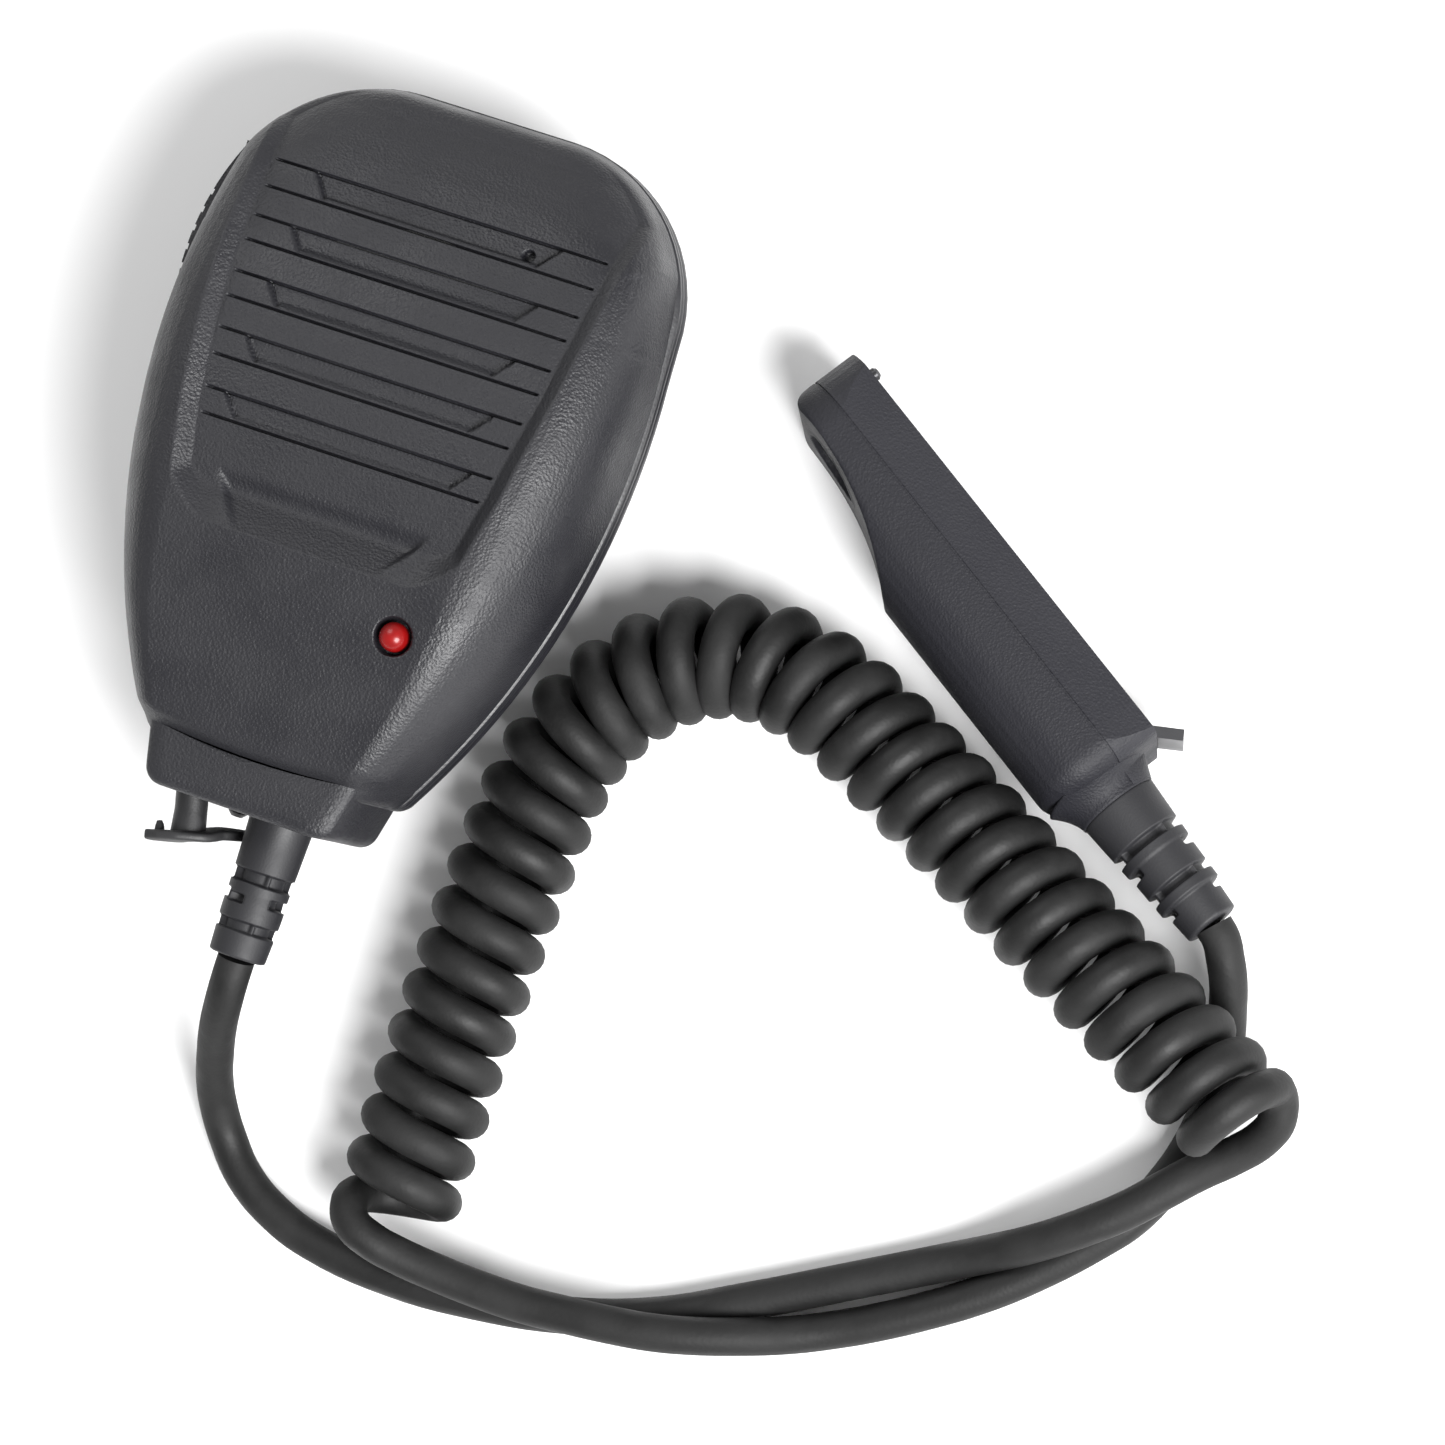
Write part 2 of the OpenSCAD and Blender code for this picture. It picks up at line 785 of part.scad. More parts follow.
module clip_arm() {
    color([0.13, 0.13, 0.14]) place()
        difference() {
            union() {
                intersection() {
                    translate([-clip_w / 2, 0, 0])
                        rotate([90, 0, 90])
                            linear_extrude(clip_w)
                                polygon([[arm_top_y - 1, 0], [arm_top_y, 0.6], [arm_top_y, 2],
                                         [arm_top_y - 1, clip_t], [-11, clip_t], [-14.4, 3.3],
                                         [-16.6, 5], [-17.7, 8], [-18, 11.2], [-19.2, 11.2],
                                         [arm_tip_y, 7.6], [-19, 4], [-16.6, 1.3], [-12, 0]]);
                    linear_extrude(14)
                        polygon([[-10, arm_top_y - 2], [-8, arm_top_y], [8, arm_top_y],
                                 [10, arm_top_y - 2], [10, 0], [7.6, arm_tip_y],
                                 [-7.6, arm_tip_y], [-10, 0]]);
                }
                for (s = [-1, 1])
                    translate([s * 6.3 - 0.9, hinge_y, 0]) {
                        translate([0, -2.4, clip_t - 0.5])
                            cube([1.8, 4.8, hinge_z - clip_t + 0.5]);
                        translate([0, 0, hinge_z])
                            rotate([0, 90, 0])
                                cylinder(r = 2.4, h = 1.8);
                    }
            }
            translate([-15, hinge_y, hinge_z])
                rotate([0, 90, 0])
                    cylinder(r = clip_pin_r + run_fit, h = 30);
        }
}

module clip_pin() {
    color([0.75, 0.75, 0.77]) place()
        translate([-9.6, hinge_y, hinge_z])
            rotate([0, 90, 0])
                cylinder(r = clip_pin_r, h = 19.2);
}

// ---- Sweeps: a tube of n sides along points, closed at both ends ----
function unit(v) = v / max(norm(v), 0.0001);
function along(pts, i) =
    i == 0 ? unit(pts[1] - pts[0])
    : i == len(pts) - 1 ? unit(pts[i] - pts[i - 1])
    : unit(unit(pts[i + 1] - pts[i]) + unit(pts[i] - pts[i - 1]));

// Carries one side vector from ring to ring without twist
function sides_of(pts, i, prev) =
    i == len(pts) ? []
    : let (t = along(pts, i), s = unit(prev - (prev * t) * t)) concat([s], sides_of(pts, i + 1, s));

module sweep(pts, r, n, start) {
    s = sides_of(pts, 0, start);
    rings = [for (i = [0:len(pts) - 1])
                 let (t = along(pts, i), u = s[i], v = cross(t, u))
                 each [for (k = [0:n - 1]) pts[i] + r * (cos(360 * k / n) * u + sin(360 * k / n) * v)]];
    m = len(pts);
    walls = [for (i = [0:m - 2], k = [0:n - 1])
                 let (a = i * n + k, b = i * n + (k + 1) % n)
                 each [[a, b + n, b], [a, a + n, b + n]]];
    polyhedron(points = rings,
               faces = concat(walls, [[for (k = [0:n - 1]) k]],
                              [[for (k = [n - 1:-1:0]) (m - 1) * n + k]]));
}

// A torsion spring round the clip's pin, with one leg on the arm and one under the plate
spring_r = 2.15;
wire_r = 0.4;
spring_steps = 55;
spring_pts = concat([[-3.4, -8, clip_t + wire_r + 0.1 - hinge_z]],
                    [for (i = [0:spring_steps])
                         let (a = 270 + 36 * i)
                         [-3 + 0.1 * i, spring_r * cos(a), spring_r * sin(a)]],
                    [[2.7, -4.8, plate_z0 - wire_r - 0.1 - hinge_z]]);

module clip_spring() {
    color([0.7, 0.7, 0.72]) place()
        translate([0, hinge_y, hinge_z])
            sweep(spring_pts, wire_r, 6, [0, 0, 1]);
}

// ---- Cord: its route in the microphone's own axes, before place() ----
coil_mid = coil_d / 2;
COIL = [[25.7, -79, 7.15], [25.6, -73, 7.15], [25.6, -67, 7.15], [25.5, -61.5, 7.15],
        [25.5, -56, 7.15], [25.6, -50, 7.15], [25.7, -44, 7.15], [25.9, -39, 7.15],
        [26.2, -34, 7.15], [27, -26.5, 7.15], [28.6, -20.7, 7.15], [31.6, -15.7, 7.15],
        [35.5, -11.6, 7.15], [40.3, -8.7, 7.15], [45.8, -7.5, 7.15], [51.3, -8, 7.15],
        [57.3, -10, 7.2], [63.2, -12.7, 7.4], [70, -16, 7.9], [77, -19.5, 8.6],
        [84, -23.1, 9.4], [91.3, -26.8, 10.2], [98.5, -30.4, 10.9], [105.7, -34, 11.5],
        [114.5, -38.4, 12]];
TAIL_MIC = [[2.6, -57.6, 20], [2.5, -59.6, 19.6], [2.1, -62.4, 17.9], [1.4, -65.6, 14.7],
            [0.9, -69, 10.8], [0.8, -72, 7.6], [1.4, -75, 4.8], [3, -78.2, 2.8],
            [6.2, -81.8, 2.2], [11.3, -84.7, 2.2], [16.4, -86.2, 2.2], [26.7, -87, 2.2],
            [36.8, -86.2, 2.2], [46.9, -84.3, 2.2], [56.9, -80.9, 2.2], [66.7, -75.7, 2.2],
            [76.6, -70, 2.2], [86.3, -64.4, 2.5], [91.2, -61.6, 3.6], [96, -58.7, 5.4],
            [101, -55.2, 6.5], [105, -52.2, 6.7], [108.5, -49.2, 6.6], [111.6, -46.2, 6.4],
            [114.6, -43.2, 6.6], [116.6, -40.8, 7.6], [116.4, -38.8, 9.2]];
TAIL_PLUG = [[20.8, -79.15, 7.2], [21.1, -80.9, 8.2], [22.6, -82.3, 9.2], [25, -83.1, 9.3],
             [28, -83.7, 8.8], [33, -84.2, 7.5], [38, -84.4, 6.8], [43, -84.3, 6.6],
             [48, -83.8, 6.6], [53, -83.2, 6.6], [58, -82.4, 6.4], [62.4, -81.3, 5.8],
             [67, -79.8, 4.7], [72, -77.9, 3], [76.8, -75.6, 2.2], [81.5, -73, 2.2],
             [86.4, -69.9, 2.2], [91.2, -66.5, 2.2], [96.1, -62.3, 2.2], [101.8, -56.4, 2.2],
             [104.8, -52.6, 2.2], [106.9, -48, 2.2], [108.4, -42.7, 2.2], [108.8, -38, 2.2],
             [108.6, -33.1, 2.3], [108.2, -30.2, 3.1], [107.7, -27.4, 4.7], [107.2, -24.8, 6.6],
             [106.3, -22.3, 8.5], [105.3, -20.4, 9.4], [104.1, -19.3, 9.6]];

module cord_tail_mic() {
    color([0.14, 0.14, 0.14]) place()
        sweep(TAIL_MIC, cord_d / 2, 8, [1, 0, 0]);
}

module cord_coil() {
    color([0.14, 0.14, 0.14]) place()
        sweep(COIL, coil_mid, 12, [1, 0, 0]);
}

module cord_tail_plug() {
    color([0.14, 0.14, 0.14]) place()
        sweep(TAIL_PLUG, cord_d / 2, 8, [0, 0, 1]);
}

// ---- Connector, in its own axes: x to the mating face, y to the free end, z across ----
plug_split = 0.15;
plug_lift = plug_half_w * cos(plug_roll) + plug_split * sin(plug_roll) + 0.06;
plug_at = [68.7, 5.9, plug_lift];
plug_turn = 57.3;
plug_face_w = plug_half_w - (plug_base_t - plug_split) * tan(plug_roll);
plug_y0 = -23.8;
plug_y1 = 31.5;
plug_wall = 1.5;
screw_y = 23.4;
screw_hole_r = 4.1;
screw_r = 1.5;
pin_y = 29;
pin_r = 0.78;
pin_root_r = 1.3;
pin_len = 1.3;
closer_y = -19.8;
closer_w = 6;
relief_x = -2.15;
relief_y0 = -26.3;
relief_y1 = -43.3;
relief_neck_r = 2.6;

module in_plug() {
    place()
        translate(plug_at)
            rotate([0, 0, plug_turn])
                rotate([0, plug_roll, 0])
                    children();
}

// The connector's outline across its width and along its length
module plug_outline(shrink) {
    w = plug_half_w - shrink;
    end_r = 6.5 - shrink;
    foot_r = 3 - shrink;
    hull()
        for (s = [-1, 1]) {
            translate([s * (w - end_r), plug_y1 - shrink - end_r])
                circle(r = end_r, $fn = 32);
            translate([s * (w - foot_r), plug_y0 + shrink + foot_r])
                circle(r = foot_r, $fn = 32);
        }
}

// Turns a drawing in width and length into a slab between two depths
module slab_x(x0, x1) {
    translate([x1, 0, 0])
        rotate([0, -90, 0])
            linear_extrude(x1 - x0)
                children();
}

// Turns a drawing in depth and width into a bar along the whole connector
module bar_y() {
    translate([0, -60, 0])
        rotate([-90, 0, 0])
            linear_extrude(110)
                children();
}

// A round bar along x at a length and a width
module peg(x0, x1, y, w, r) {
    translate([x0, y, w])
        rotate([0, 90, 0])
            cylinder(r = r, h = x1 - x0);
}

module base_form(shrink) {
    intersection() {
        slab_x(plug_split, plug_base_t - shrink)
            plug_outline(shrink);
        bar_y()
            polygon([[plug_split, shrink - plug_half_w], [plug_base_t, shrink - plug_face_w],
                     [plug_base_t, plug_face_w - shrink], [plug_split, plug_half_w - shrink]]);
    }
}

// The cord's collar tapers from the connector's end down to the relief
module collar() {
    translate([relief_x, plug_y0 + 1.5, 0])
        rotate([90, 0, 0])
            cylinder(r1 = 6.4, r2 = 4.7, h = plug_y0 + 1.5 - relief_y0);
}

module relief_bore() {
    translate([relief_x, plug_y0 + plug_wall + 0.1, 0])
        rotate([90, 0, 0])
            cylinder(r = relief_neck_r + 0.02, h = 8);
}

module hook_shape(grow) {
    polygon([[3.6 - grow, -19.6 + grow], [4.9 + grow, -19.6 + grow], [4.9 + grow, -21.1],
             [8.44 + grow, -24.64], [7.52 - grow, -25.56 - 2 * grow], [3.6 - grow, -21.64 - grow]]);
}

module plug_base() {
    color([0.15, 0.15, 0.17]) in_plug() {
        difference() {
            union() {
                base_form(0);
                difference() {
                    collar();
                    translate([plug_split - 20, -40, -12])
                        cube([20, 40, 24]);
                }
            }
            translate([-eps, 0, 0])
                base_form(plug_wall);
            slab_x(plug_base_t - 2.5, plug_base_t + 1)
                translate([-5.2, -15.2])
                    square([10.4, 22.4]);
            slab_x(plug_base_t - 0.8, plug_base_t + 1)
                difference() {
                    translate([-7.1, -17.1])
                        square([14.2, 26.2]);
                    translate([-6, -16])
                        square([12, 24]);
                }
            peg(3, 8, screw_y, 0, screw_r + run_fit);
            peg(3, 8, pin_y, 0, pin_root_r);
            relief_bore();
            translate([0, 0, -3])
                linear_extrude(6)
                    hook_shape(0.1);
            for (s = [-1, 1])
                peg(3, 6, closer_y, s * closer_w, 1.9);
        }
        difference() {
            intersection() {
                base_form(plug_wall - 0.4);
                slab_x(plug_split, plug_split + 0.9)
                    translate([-9, screw_y - 6])
                        square([18, 16]);
            }
            peg(-1, 3, screw_y, 0, screw_r + run_fit);
        }
        difference() {
            for (s = [-1, 1])
                peg(plug_split, plug_base_t - plug_wall + 0.2, closer_y, s * closer_w, 1.9);
            for (s = [-1, 1])
                peg(-1, 8, closer_y, s * closer_w, 0.9);
            translate([0, 0, -3])
                linear_extrude(6)
                    hook_shape(0.1);
        }
    }
}

// The cover: full depth by the cord, scooped thin round the thumbscrew
scoop_r = 39;
scoop_x = -3.5;
scoop_y = 27;

module cover_form(shrink) {
    intersection() {
        slab_x(-plug_cover_t + shrink, -plug_split)
            plug_outline(shrink);
        bar_y()
            polygon([[1, shrink - plug_half_w], [-plug_split, shrink - plug_half_w],
                     [-4.3, shrink - 8.8], [shrink - 6.5, shrink - 7.6],
                     [shrink - 8.2, shrink - 5.2], [shrink - 8.9, -2.5],
                     [shrink - plug_cover_t, 0], [shrink - 8.9, 2.5],
                     [shrink - 8.2, 5.2 - shrink], [shrink - 6.5, 7.6 - shrink],
                     [-4.3, 8.8 - shrink], [-plug_split, plug_half_w - shrink],
                     [1, plug_half_w - shrink]]);
    }
}

module plug_cover() {
    color([0.15, 0.15, 0.17]) in_plug() {
        difference() {
            union() {
                cover_form(0);
                difference() {
                    collar();
                    translate([-plug_split, -40, -12])
                        cube([20, 40, 24]);
                }
            }
            intersection() {
                translate([eps, 0, 0])
                    cover_form(plug_wall);
                translate([-12, -40, -12])
                    cube([20, 46, 24]);
            }
            translate([scoop_x - scoop_r, scoop_y, 0])
                cylinder(r = scoop_r, h = 40, center = true, $fn = 96);
            peg(-20, 1, screw_y, 0, screw_hole_r);
            translate([-6.2, plug_y1 - 2.2, -12])
                rotate([0, 0, 28])
                    cube([6, 6, 24]);
            relief_bore();
        }
        difference() {
            for (s = [-1, 1])
                peg(-6.5, -plug_split, closer_y, s * closer_w, 1.9);
            for (s = [-1, 1])
                peg(-4.6, 1, closer_y, s * closer_w, 0.78);
        }
    }
}

module plug_screws() {
    color([0.6, 0.6, 0.6]) in_plug()
        for (s = [-1, 1])
            difference() {
                union() {
                    peg(plug_base_t - plug_wall + 0.25, plug_base_t - 0.3, closer_y,
                        s * closer_w, 1.8);
                    peg(-4.4, plug_base_t - plug_wall + 0.3, closer_y, s * closer_w, 0.76);
                }
                translate([plug_base_t - 0.8, closer_y - 0.2, s * closer_w - 1.2])
                    cube([1, 0.4, 2.4]);
                translate([plug_base_t - 0.8, closer_y - 1.2, s * closer_w - 0.2])
                    cube([1, 2.4, 0.4]);
            }
}

contact_pitch = 5.3;
contact_w = 2.4;

module contact_block() {
    color([0.08, 0.08, 0.09]) in_plug()
        difference() {
            slab_x(0.9, plug_base_t - 0.9)
                translate([-5.1, -15.1])
                    square([10.2, 22.2]);
            for (i = [0:3], s = [-1, 1])
                peg(-1, 8, -12 + contact_pitch * i, s * contact_w, 0.9);
        }
}

module contact_pins() {
    color([0.85, 0.68, 0.3]) in_plug()
        for (i = [0:3], s = [-1, 1])
            union() {
                peg(0.4, plug_base_t - 0.7, -12 + contact_pitch * i, s * contact_w, 0.88);
                peg(plug_base_t - 0.72, plug_base_t, -12 + contact_pitch * i, s * contact_w, 0.6);
            }
}

module plug_seal() {
    color([0.05, 0.05, 0.05]) in_plug()
        slab_x(plug_base_t - 0.78, plug_base_t + 0.1)
            difference() {
                translate([-7, -17])
                    square([14, 26]);
                translate([-6.1, -16.1])
                    square([12.2, 24.2]);
            }
}

module plug_hook() {
    color([0.6, 0.6, 0.62]) in_plug()
        translate([0, 0, -2.9])
            linear_extrude(5.8)
                hook_shape(0);
}

module locating_pin() {
    color([0.6, 0.6, 0.62]) in_plug()
        union() {
            peg(3.2, plug_base_t, pin_y, 0, pin_root_r - 0.02);
            peg(plug_base_t - eps, plug_base_t + pin_len, pin_y, 0, pin_r);
            translate([plug_base_t + pin_len - eps, pin_y, 0])
                rotate([0, 90, 0])
                    cylinder(r1 = pin_r, r2 = 0.5, h = 0.35);
        }
}

// A captive screw turned with a coin; its head lies in the cover's round recess
module thumbscrew() {
    color([0.35, 0.35, 0.37]) in_plug()
        difference() {
            union() {
                peg(-3, -1, screw_y, 0, screw_hole_r - 0.35);
                peg(-1.5, plug_base_t - 0.1, screw_y, 0, screw_r);
            }
            translate([-3.5, screw_y - 5, -0.5])
                cube([1.4, 10, 1]);
        }
}

module thumbscrew_ring() {
    color([0.6, 0.6, 0.62]) in_plug()
        difference() {
            peg(plug_split + 1.05, plug_split + 1.55, screw_y, 0, 2.6);
            peg(-1, 4, screw_y, 0, screw_r + run_fit);
        }
}

module strain_relief_plug() {
    color([0.11, 0.11, 0.12]) in_plug()
        translate([relief_x, relief_y0 - 0.05, 0])
            rotate([90, 0, 0])
                union() {
                    relief_profile(4.5, 3.2, relief_y0 - 0.05 - relief_y1, 0);
                    translate([0, 0, -4.1])
                        cylinder(r = relief_neck_r, h = 4.2);
                    translate([0, 0, -5.5])
                        cylinder(r = 3.6, h = 1.4);
                }
}

front_cover();
rear_cover();
cover_screws();
grille_cloth();
speaker_gasket();
speaker_basket();
speaker_cone();
speaker_magnet();
mic_boot();
mic_capsule();
circuit_board();
board_screws();
ptt_key();
ptt_pivot_pin();
ptt_membrane();
ptt_switch();
ptt_plunger();
led_lens();
led_leads();
earphone_jack();
jack_cap();
strain_relief_mic();
cable_clamp_mic();
clip_plate();
clip_screw();
clip_washer();
clip_arm();
clip_pin();
clip_spring();
cord_tail_mic();
cord_coil();
cord_tail_plug();
strain_relief_plug();
plug_base();
plug_cover();
plug_screws();
contact_block();
contact_pins();
plug_seal();
plug_hook();
locating_pin();
thumbscrew();
thumbscrew_ring();
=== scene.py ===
import json
import math

import bmesh
import bpy
import numpy as np
from mathutils import Matrix, Vector


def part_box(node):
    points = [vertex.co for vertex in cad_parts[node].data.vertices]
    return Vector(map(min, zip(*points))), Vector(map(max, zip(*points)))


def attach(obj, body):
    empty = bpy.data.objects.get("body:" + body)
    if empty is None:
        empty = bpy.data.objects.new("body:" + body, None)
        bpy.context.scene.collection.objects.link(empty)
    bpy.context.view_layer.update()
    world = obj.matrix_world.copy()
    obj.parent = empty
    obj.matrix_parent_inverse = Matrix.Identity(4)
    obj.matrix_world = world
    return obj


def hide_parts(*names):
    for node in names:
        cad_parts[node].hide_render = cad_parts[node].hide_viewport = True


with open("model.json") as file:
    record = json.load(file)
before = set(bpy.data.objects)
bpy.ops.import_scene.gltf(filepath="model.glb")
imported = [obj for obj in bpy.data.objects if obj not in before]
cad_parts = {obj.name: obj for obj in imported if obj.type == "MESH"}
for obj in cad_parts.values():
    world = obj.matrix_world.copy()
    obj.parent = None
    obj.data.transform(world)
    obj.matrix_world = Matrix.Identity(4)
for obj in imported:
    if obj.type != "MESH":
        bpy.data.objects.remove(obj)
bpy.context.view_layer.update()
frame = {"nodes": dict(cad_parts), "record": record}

# Lengths are in millimetres in the microphone's own axes, and turn into metres in at()
MM = 0.001

# The microphone's axes start 12 mm below the clip's pivot screw
PIVOT_Y = 12
screw_low, screw_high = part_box("clip_screw")
START = Vector(((screw_low[0] + screw_high[0]) / 2, (screw_low[1] + screw_high[1]) / 2 - PIVOT_Y * MM, 0))


def at(x, y, z):
    """A point of the microphone's own axes, as metres in the row frame."""
    return START + Vector((x, y, z)) * MM


# ---- Camera: leans towards the cord's side and is rolled, as a hand would hold it ----
CAMERA_LEAN = math.radians(14.2)
CAMERA_ROLL = math.radians(18.6)
CAMERA_DISTANCE = 750
CAMERA_TARGET = (41.9, -15.4, 0)
FRAME_WIDTH = 163.3


def make_camera():
    """A long lens from above, so that the picture has little perspective."""
    data = bpy.data.cameras.new("camera")
    data.sensor_width = 36
    data.lens = data.sensor_width * CAMERA_DISTANCE / FRAME_WIDTH
    camera = bpy.data.objects.new("camera", data)
    bpy.context.scene.collection.objects.link(camera)
    turn = Matrix.Rotation(CAMERA_LEAN, 4, "Y") @ Matrix.Rotation(CAMERA_ROLL, 4, "Z")
    place = at(*CAMERA_TARGET) + turn.col[2].to_3d() * CAMERA_DISTANCE * MM
    camera.matrix_world = Matrix.Translation(place) @ turn
    bpy.context.scene.camera = camera


make_camera()


# ---- Materials ----
def new_material(name):
    """A new material with its node tree and its shader."""
    m = bpy.data.materials.new(name)
    m.use_nodes = True
    tree = m.node_tree
    return m, tree, tree.nodes["Principled BSDF"]


def node(tree, kind, **settings):
    """A new node with its properties or, by name, its inputs set."""
    n = tree.nodes.new(kind)
    for key, value in settings.items():
        if hasattr(n, key):
            setattr(n, key, value)
        else:
            n.inputs[key].default_value = value
    return n


def grain(tree, coords, scale):
    """A leathery height between 0 and 1: rounded cells broken up by noise."""
    cells = node(tree, "ShaderNodeTexVoronoi", feature="SMOOTH_F1", Scale=scale, Smoothness=0.5)
    noise = node(tree, "ShaderNodeTexNoise", Scale=scale * 1.7, Detail=3.0, Roughness=0.6)
    blend = node(tree, "ShaderNodeMix", data_type="FLOAT")
    blend.inputs[0].default_value = 0.45
    tree.links.new(coords, cells.inputs["Vector"])
    tree.links.new(coords, noise.inputs["Vector"])
    tree.links.new(cells.outputs["Distance"], blend.inputs[2])
    tree.links.new(noise.outputs["Fac"], blend.inputs[3])
    return blend.outputs[0]


def moulded(name, colour, roughness, grain_size, grain_depth, wear, spread=0.12, metal=0.0, shine=0.5,
            dust=0.0):
    """A coloured surface with a fine grain, uneven gloss and edges rubbed a little lighter.
    The grain's size and depth are in millimetres; dust lightens it in patches."""
    m, tree, bsdf = new_material(name)
    coords = node(tree, "ShaderNodeTexCoord").outputs["Object"]
    height = grain(tree, coords, 1 / (grain_size * MM))
    bump = node(tree, "ShaderNodeBump", Strength=1.0, Distance=grain_depth * MM)
    tree.links.new(height, bump.inputs["Height"])
    tree.links.new(bump.outputs["Normal"], bsdf.inputs["Normal"])
    patches = node(tree, "ShaderNodeTexNoise", Scale=110.0, Detail=4.0, Roughness=0.55)
    tree.links.new(coords, patches.inputs["Vector"])
    gloss = node(tree, "ShaderNodeMapRange")
    gloss.inputs["From Min"].default_value = 0.3
    gloss.inputs["From Max"].default_value = 0.7
    gloss.inputs["To Min"].default_value = roughness - spread
    gloss.inputs["To Max"].default_value = roughness + spread
    tree.links.new(patches.outputs["Fac"], gloss.inputs["Value"])
    tree.links.new(gloss.outputs["Result"], bsdf.inputs["Roughness"])
    edges = node(tree, "ShaderNodeNewGeometry").outputs["Pointiness"]
    rubbed = node(tree, "ShaderNodeMapRange")
    rubbed.inputs["From Min"].default_value = 0.52
    rubbed.inputs["From Max"].default_value = 0.62
    rubbed.inputs["To Max"].default_value = wear
    tree.links.new(edges, rubbed.inputs["Value"])
    haze = node(tree, "ShaderNodeMapRange")
    haze.inputs["From Min"].default_value = 0.45
    haze.inputs["From Max"].default_value = 0.75
    haze.inputs["To Max"].default_value = dust
    tree.links.new(patches.outputs["Fac"], haze.inputs["Value"])
    lighter = node(tree, "ShaderNodeMath", operation="ADD", use_clamp=True)
    tree.links.new(rubbed.outputs["Result"], lighter.inputs[0])
    tree.links.new(haze.outputs["Result"], lighter.inputs[1])
    mix = node(tree, "ShaderNodeMix", data_type="RGBA")
    mix.inputs["A"].default_value = (*colour, 1)
    mix.inputs["B"].default_value = (*[min(1, c * 1.9 + 0.02) for c in colour], 1)
    tree.links.new(lighter.outputs["Value"], mix.inputs["Factor"])
    tree.links.new(mix.outputs["Result"], bsdf.inputs["Base Color"])
    bsdf.inputs["Metallic"].default_value = metal
    bsdf.inputs["Specular IOR Level"].default_value = shine
    return m


def brushed(name, colour, roughness):
    """Metal with fine drawn lines along one direction."""
    m, tree, bsdf = new_material(name)
    coords = node(tree, "ShaderNodeTexCoord").outputs["Object"]
    stretch = node(tree, "ShaderNodeMapping")
    stretch.inputs["Scale"].default_value = (600, 8000, 8000)
    lines = node(tree, "ShaderNodeTexNoise", Scale=1.0, Detail=4.0)
    tree.links.new(coords, stretch.inputs["Vector"])
    tree.links.new(stretch.outputs["Vector"], lines.inputs["Vector"])
    bump = node(tree, "ShaderNodeBump", Strength=0.5, Distance=0.01 * MM)
    tree.links.new(lines.outputs["Fac"], bump.inputs["Height"])
    tree.links.new(bump.outputs["Normal"], bsdf.inputs["Normal"])
    gloss = node(tree, "ShaderNodeMapRange")
    gloss.inputs["To Min"].default_value = roughness - 0.1
    gloss.inputs["To Max"].default_value = roughness + 0.15
    tree.links.new(lines.outputs["Fac"], gloss.inputs["Value"])
    tree.links.new(gloss.outputs["Result"], bsdf.inputs["Roughness"])
    bsdf.inputs["Base Color"].default_value = (*colour, 1)
    bsdf.inputs["Metallic"].default_value = 1.0
    return m


def woven(name, colour):
    """Fine speaker cloth: two crossed waves."""
    m, tree, bsdf = new_material(name)
    coords = node(tree, "ShaderNodeTexCoord").outputs["Object"]
    warp = node(tree, "ShaderNodeTexWave", bands_direction="X", Scale=900.0)
    weft = node(tree, "ShaderNodeTexWave", bands_direction="Y", Scale=900.0)
    both = node(tree, "ShaderNodeMath", operation="ADD")
    tree.links.new(coords, warp.inputs["Vector"])
    tree.links.new(coords, weft.inputs["Vector"])
    tree.links.new(warp.outputs["Fac"], both.inputs[0])
    tree.links.new(weft.outputs["Fac"], both.inputs[1])
    bump = node(tree, "ShaderNodeBump", Strength=1.0, Distance=0.08 * MM)
    tree.links.new(both.outputs["Value"], bump.inputs["Height"])
    tree.links.new(bump.outputs["Normal"], bsdf.inputs["Normal"])
    bsdf.inputs["Base Color"].default_value = (*colour, 1)
    bsdf.inputs["Roughness"].default_value = 0.9
    bsdf.inputs["Sheen Weight"].default_value = 0.3
    return m


def lamp(name, colour):
    """Tinted clear resin with a cloudy middle."""
    m, tree, bsdf = new_material(name)
    coords = node(tree, "ShaderNodeTexCoord").outputs["Object"]
    cloud = node(tree, "ShaderNodeTexNoise", Scale=900.0, Detail=2.0)
    tree.links.new(coords, cloud.inputs["Vector"])
    ramp = node(tree, "ShaderNodeMix", data_type="RGBA")
    ramp.inputs["A"].default_value = (*colour, 1)
    ramp.inputs["B"].default_value = (min(1, colour[0] * 2.2), colour[1] * 3, colour[2] * 3, 1)
    tree.links.new(cloud.outputs["Fac"], ramp.inputs["Factor"])
    tree.links.new(ramp.outputs["Result"], bsdf.inputs["Base Color"])
    bsdf.inputs["Roughness"].default_value = 0.3
    bsdf.inputs["Coat Weight"].default_value = 0.15
    bsdf.inputs["Coat Roughness"].default_value = 0.2
    bsdf.inputs["Specular IOR Level"].default_value = 0.3
    return m


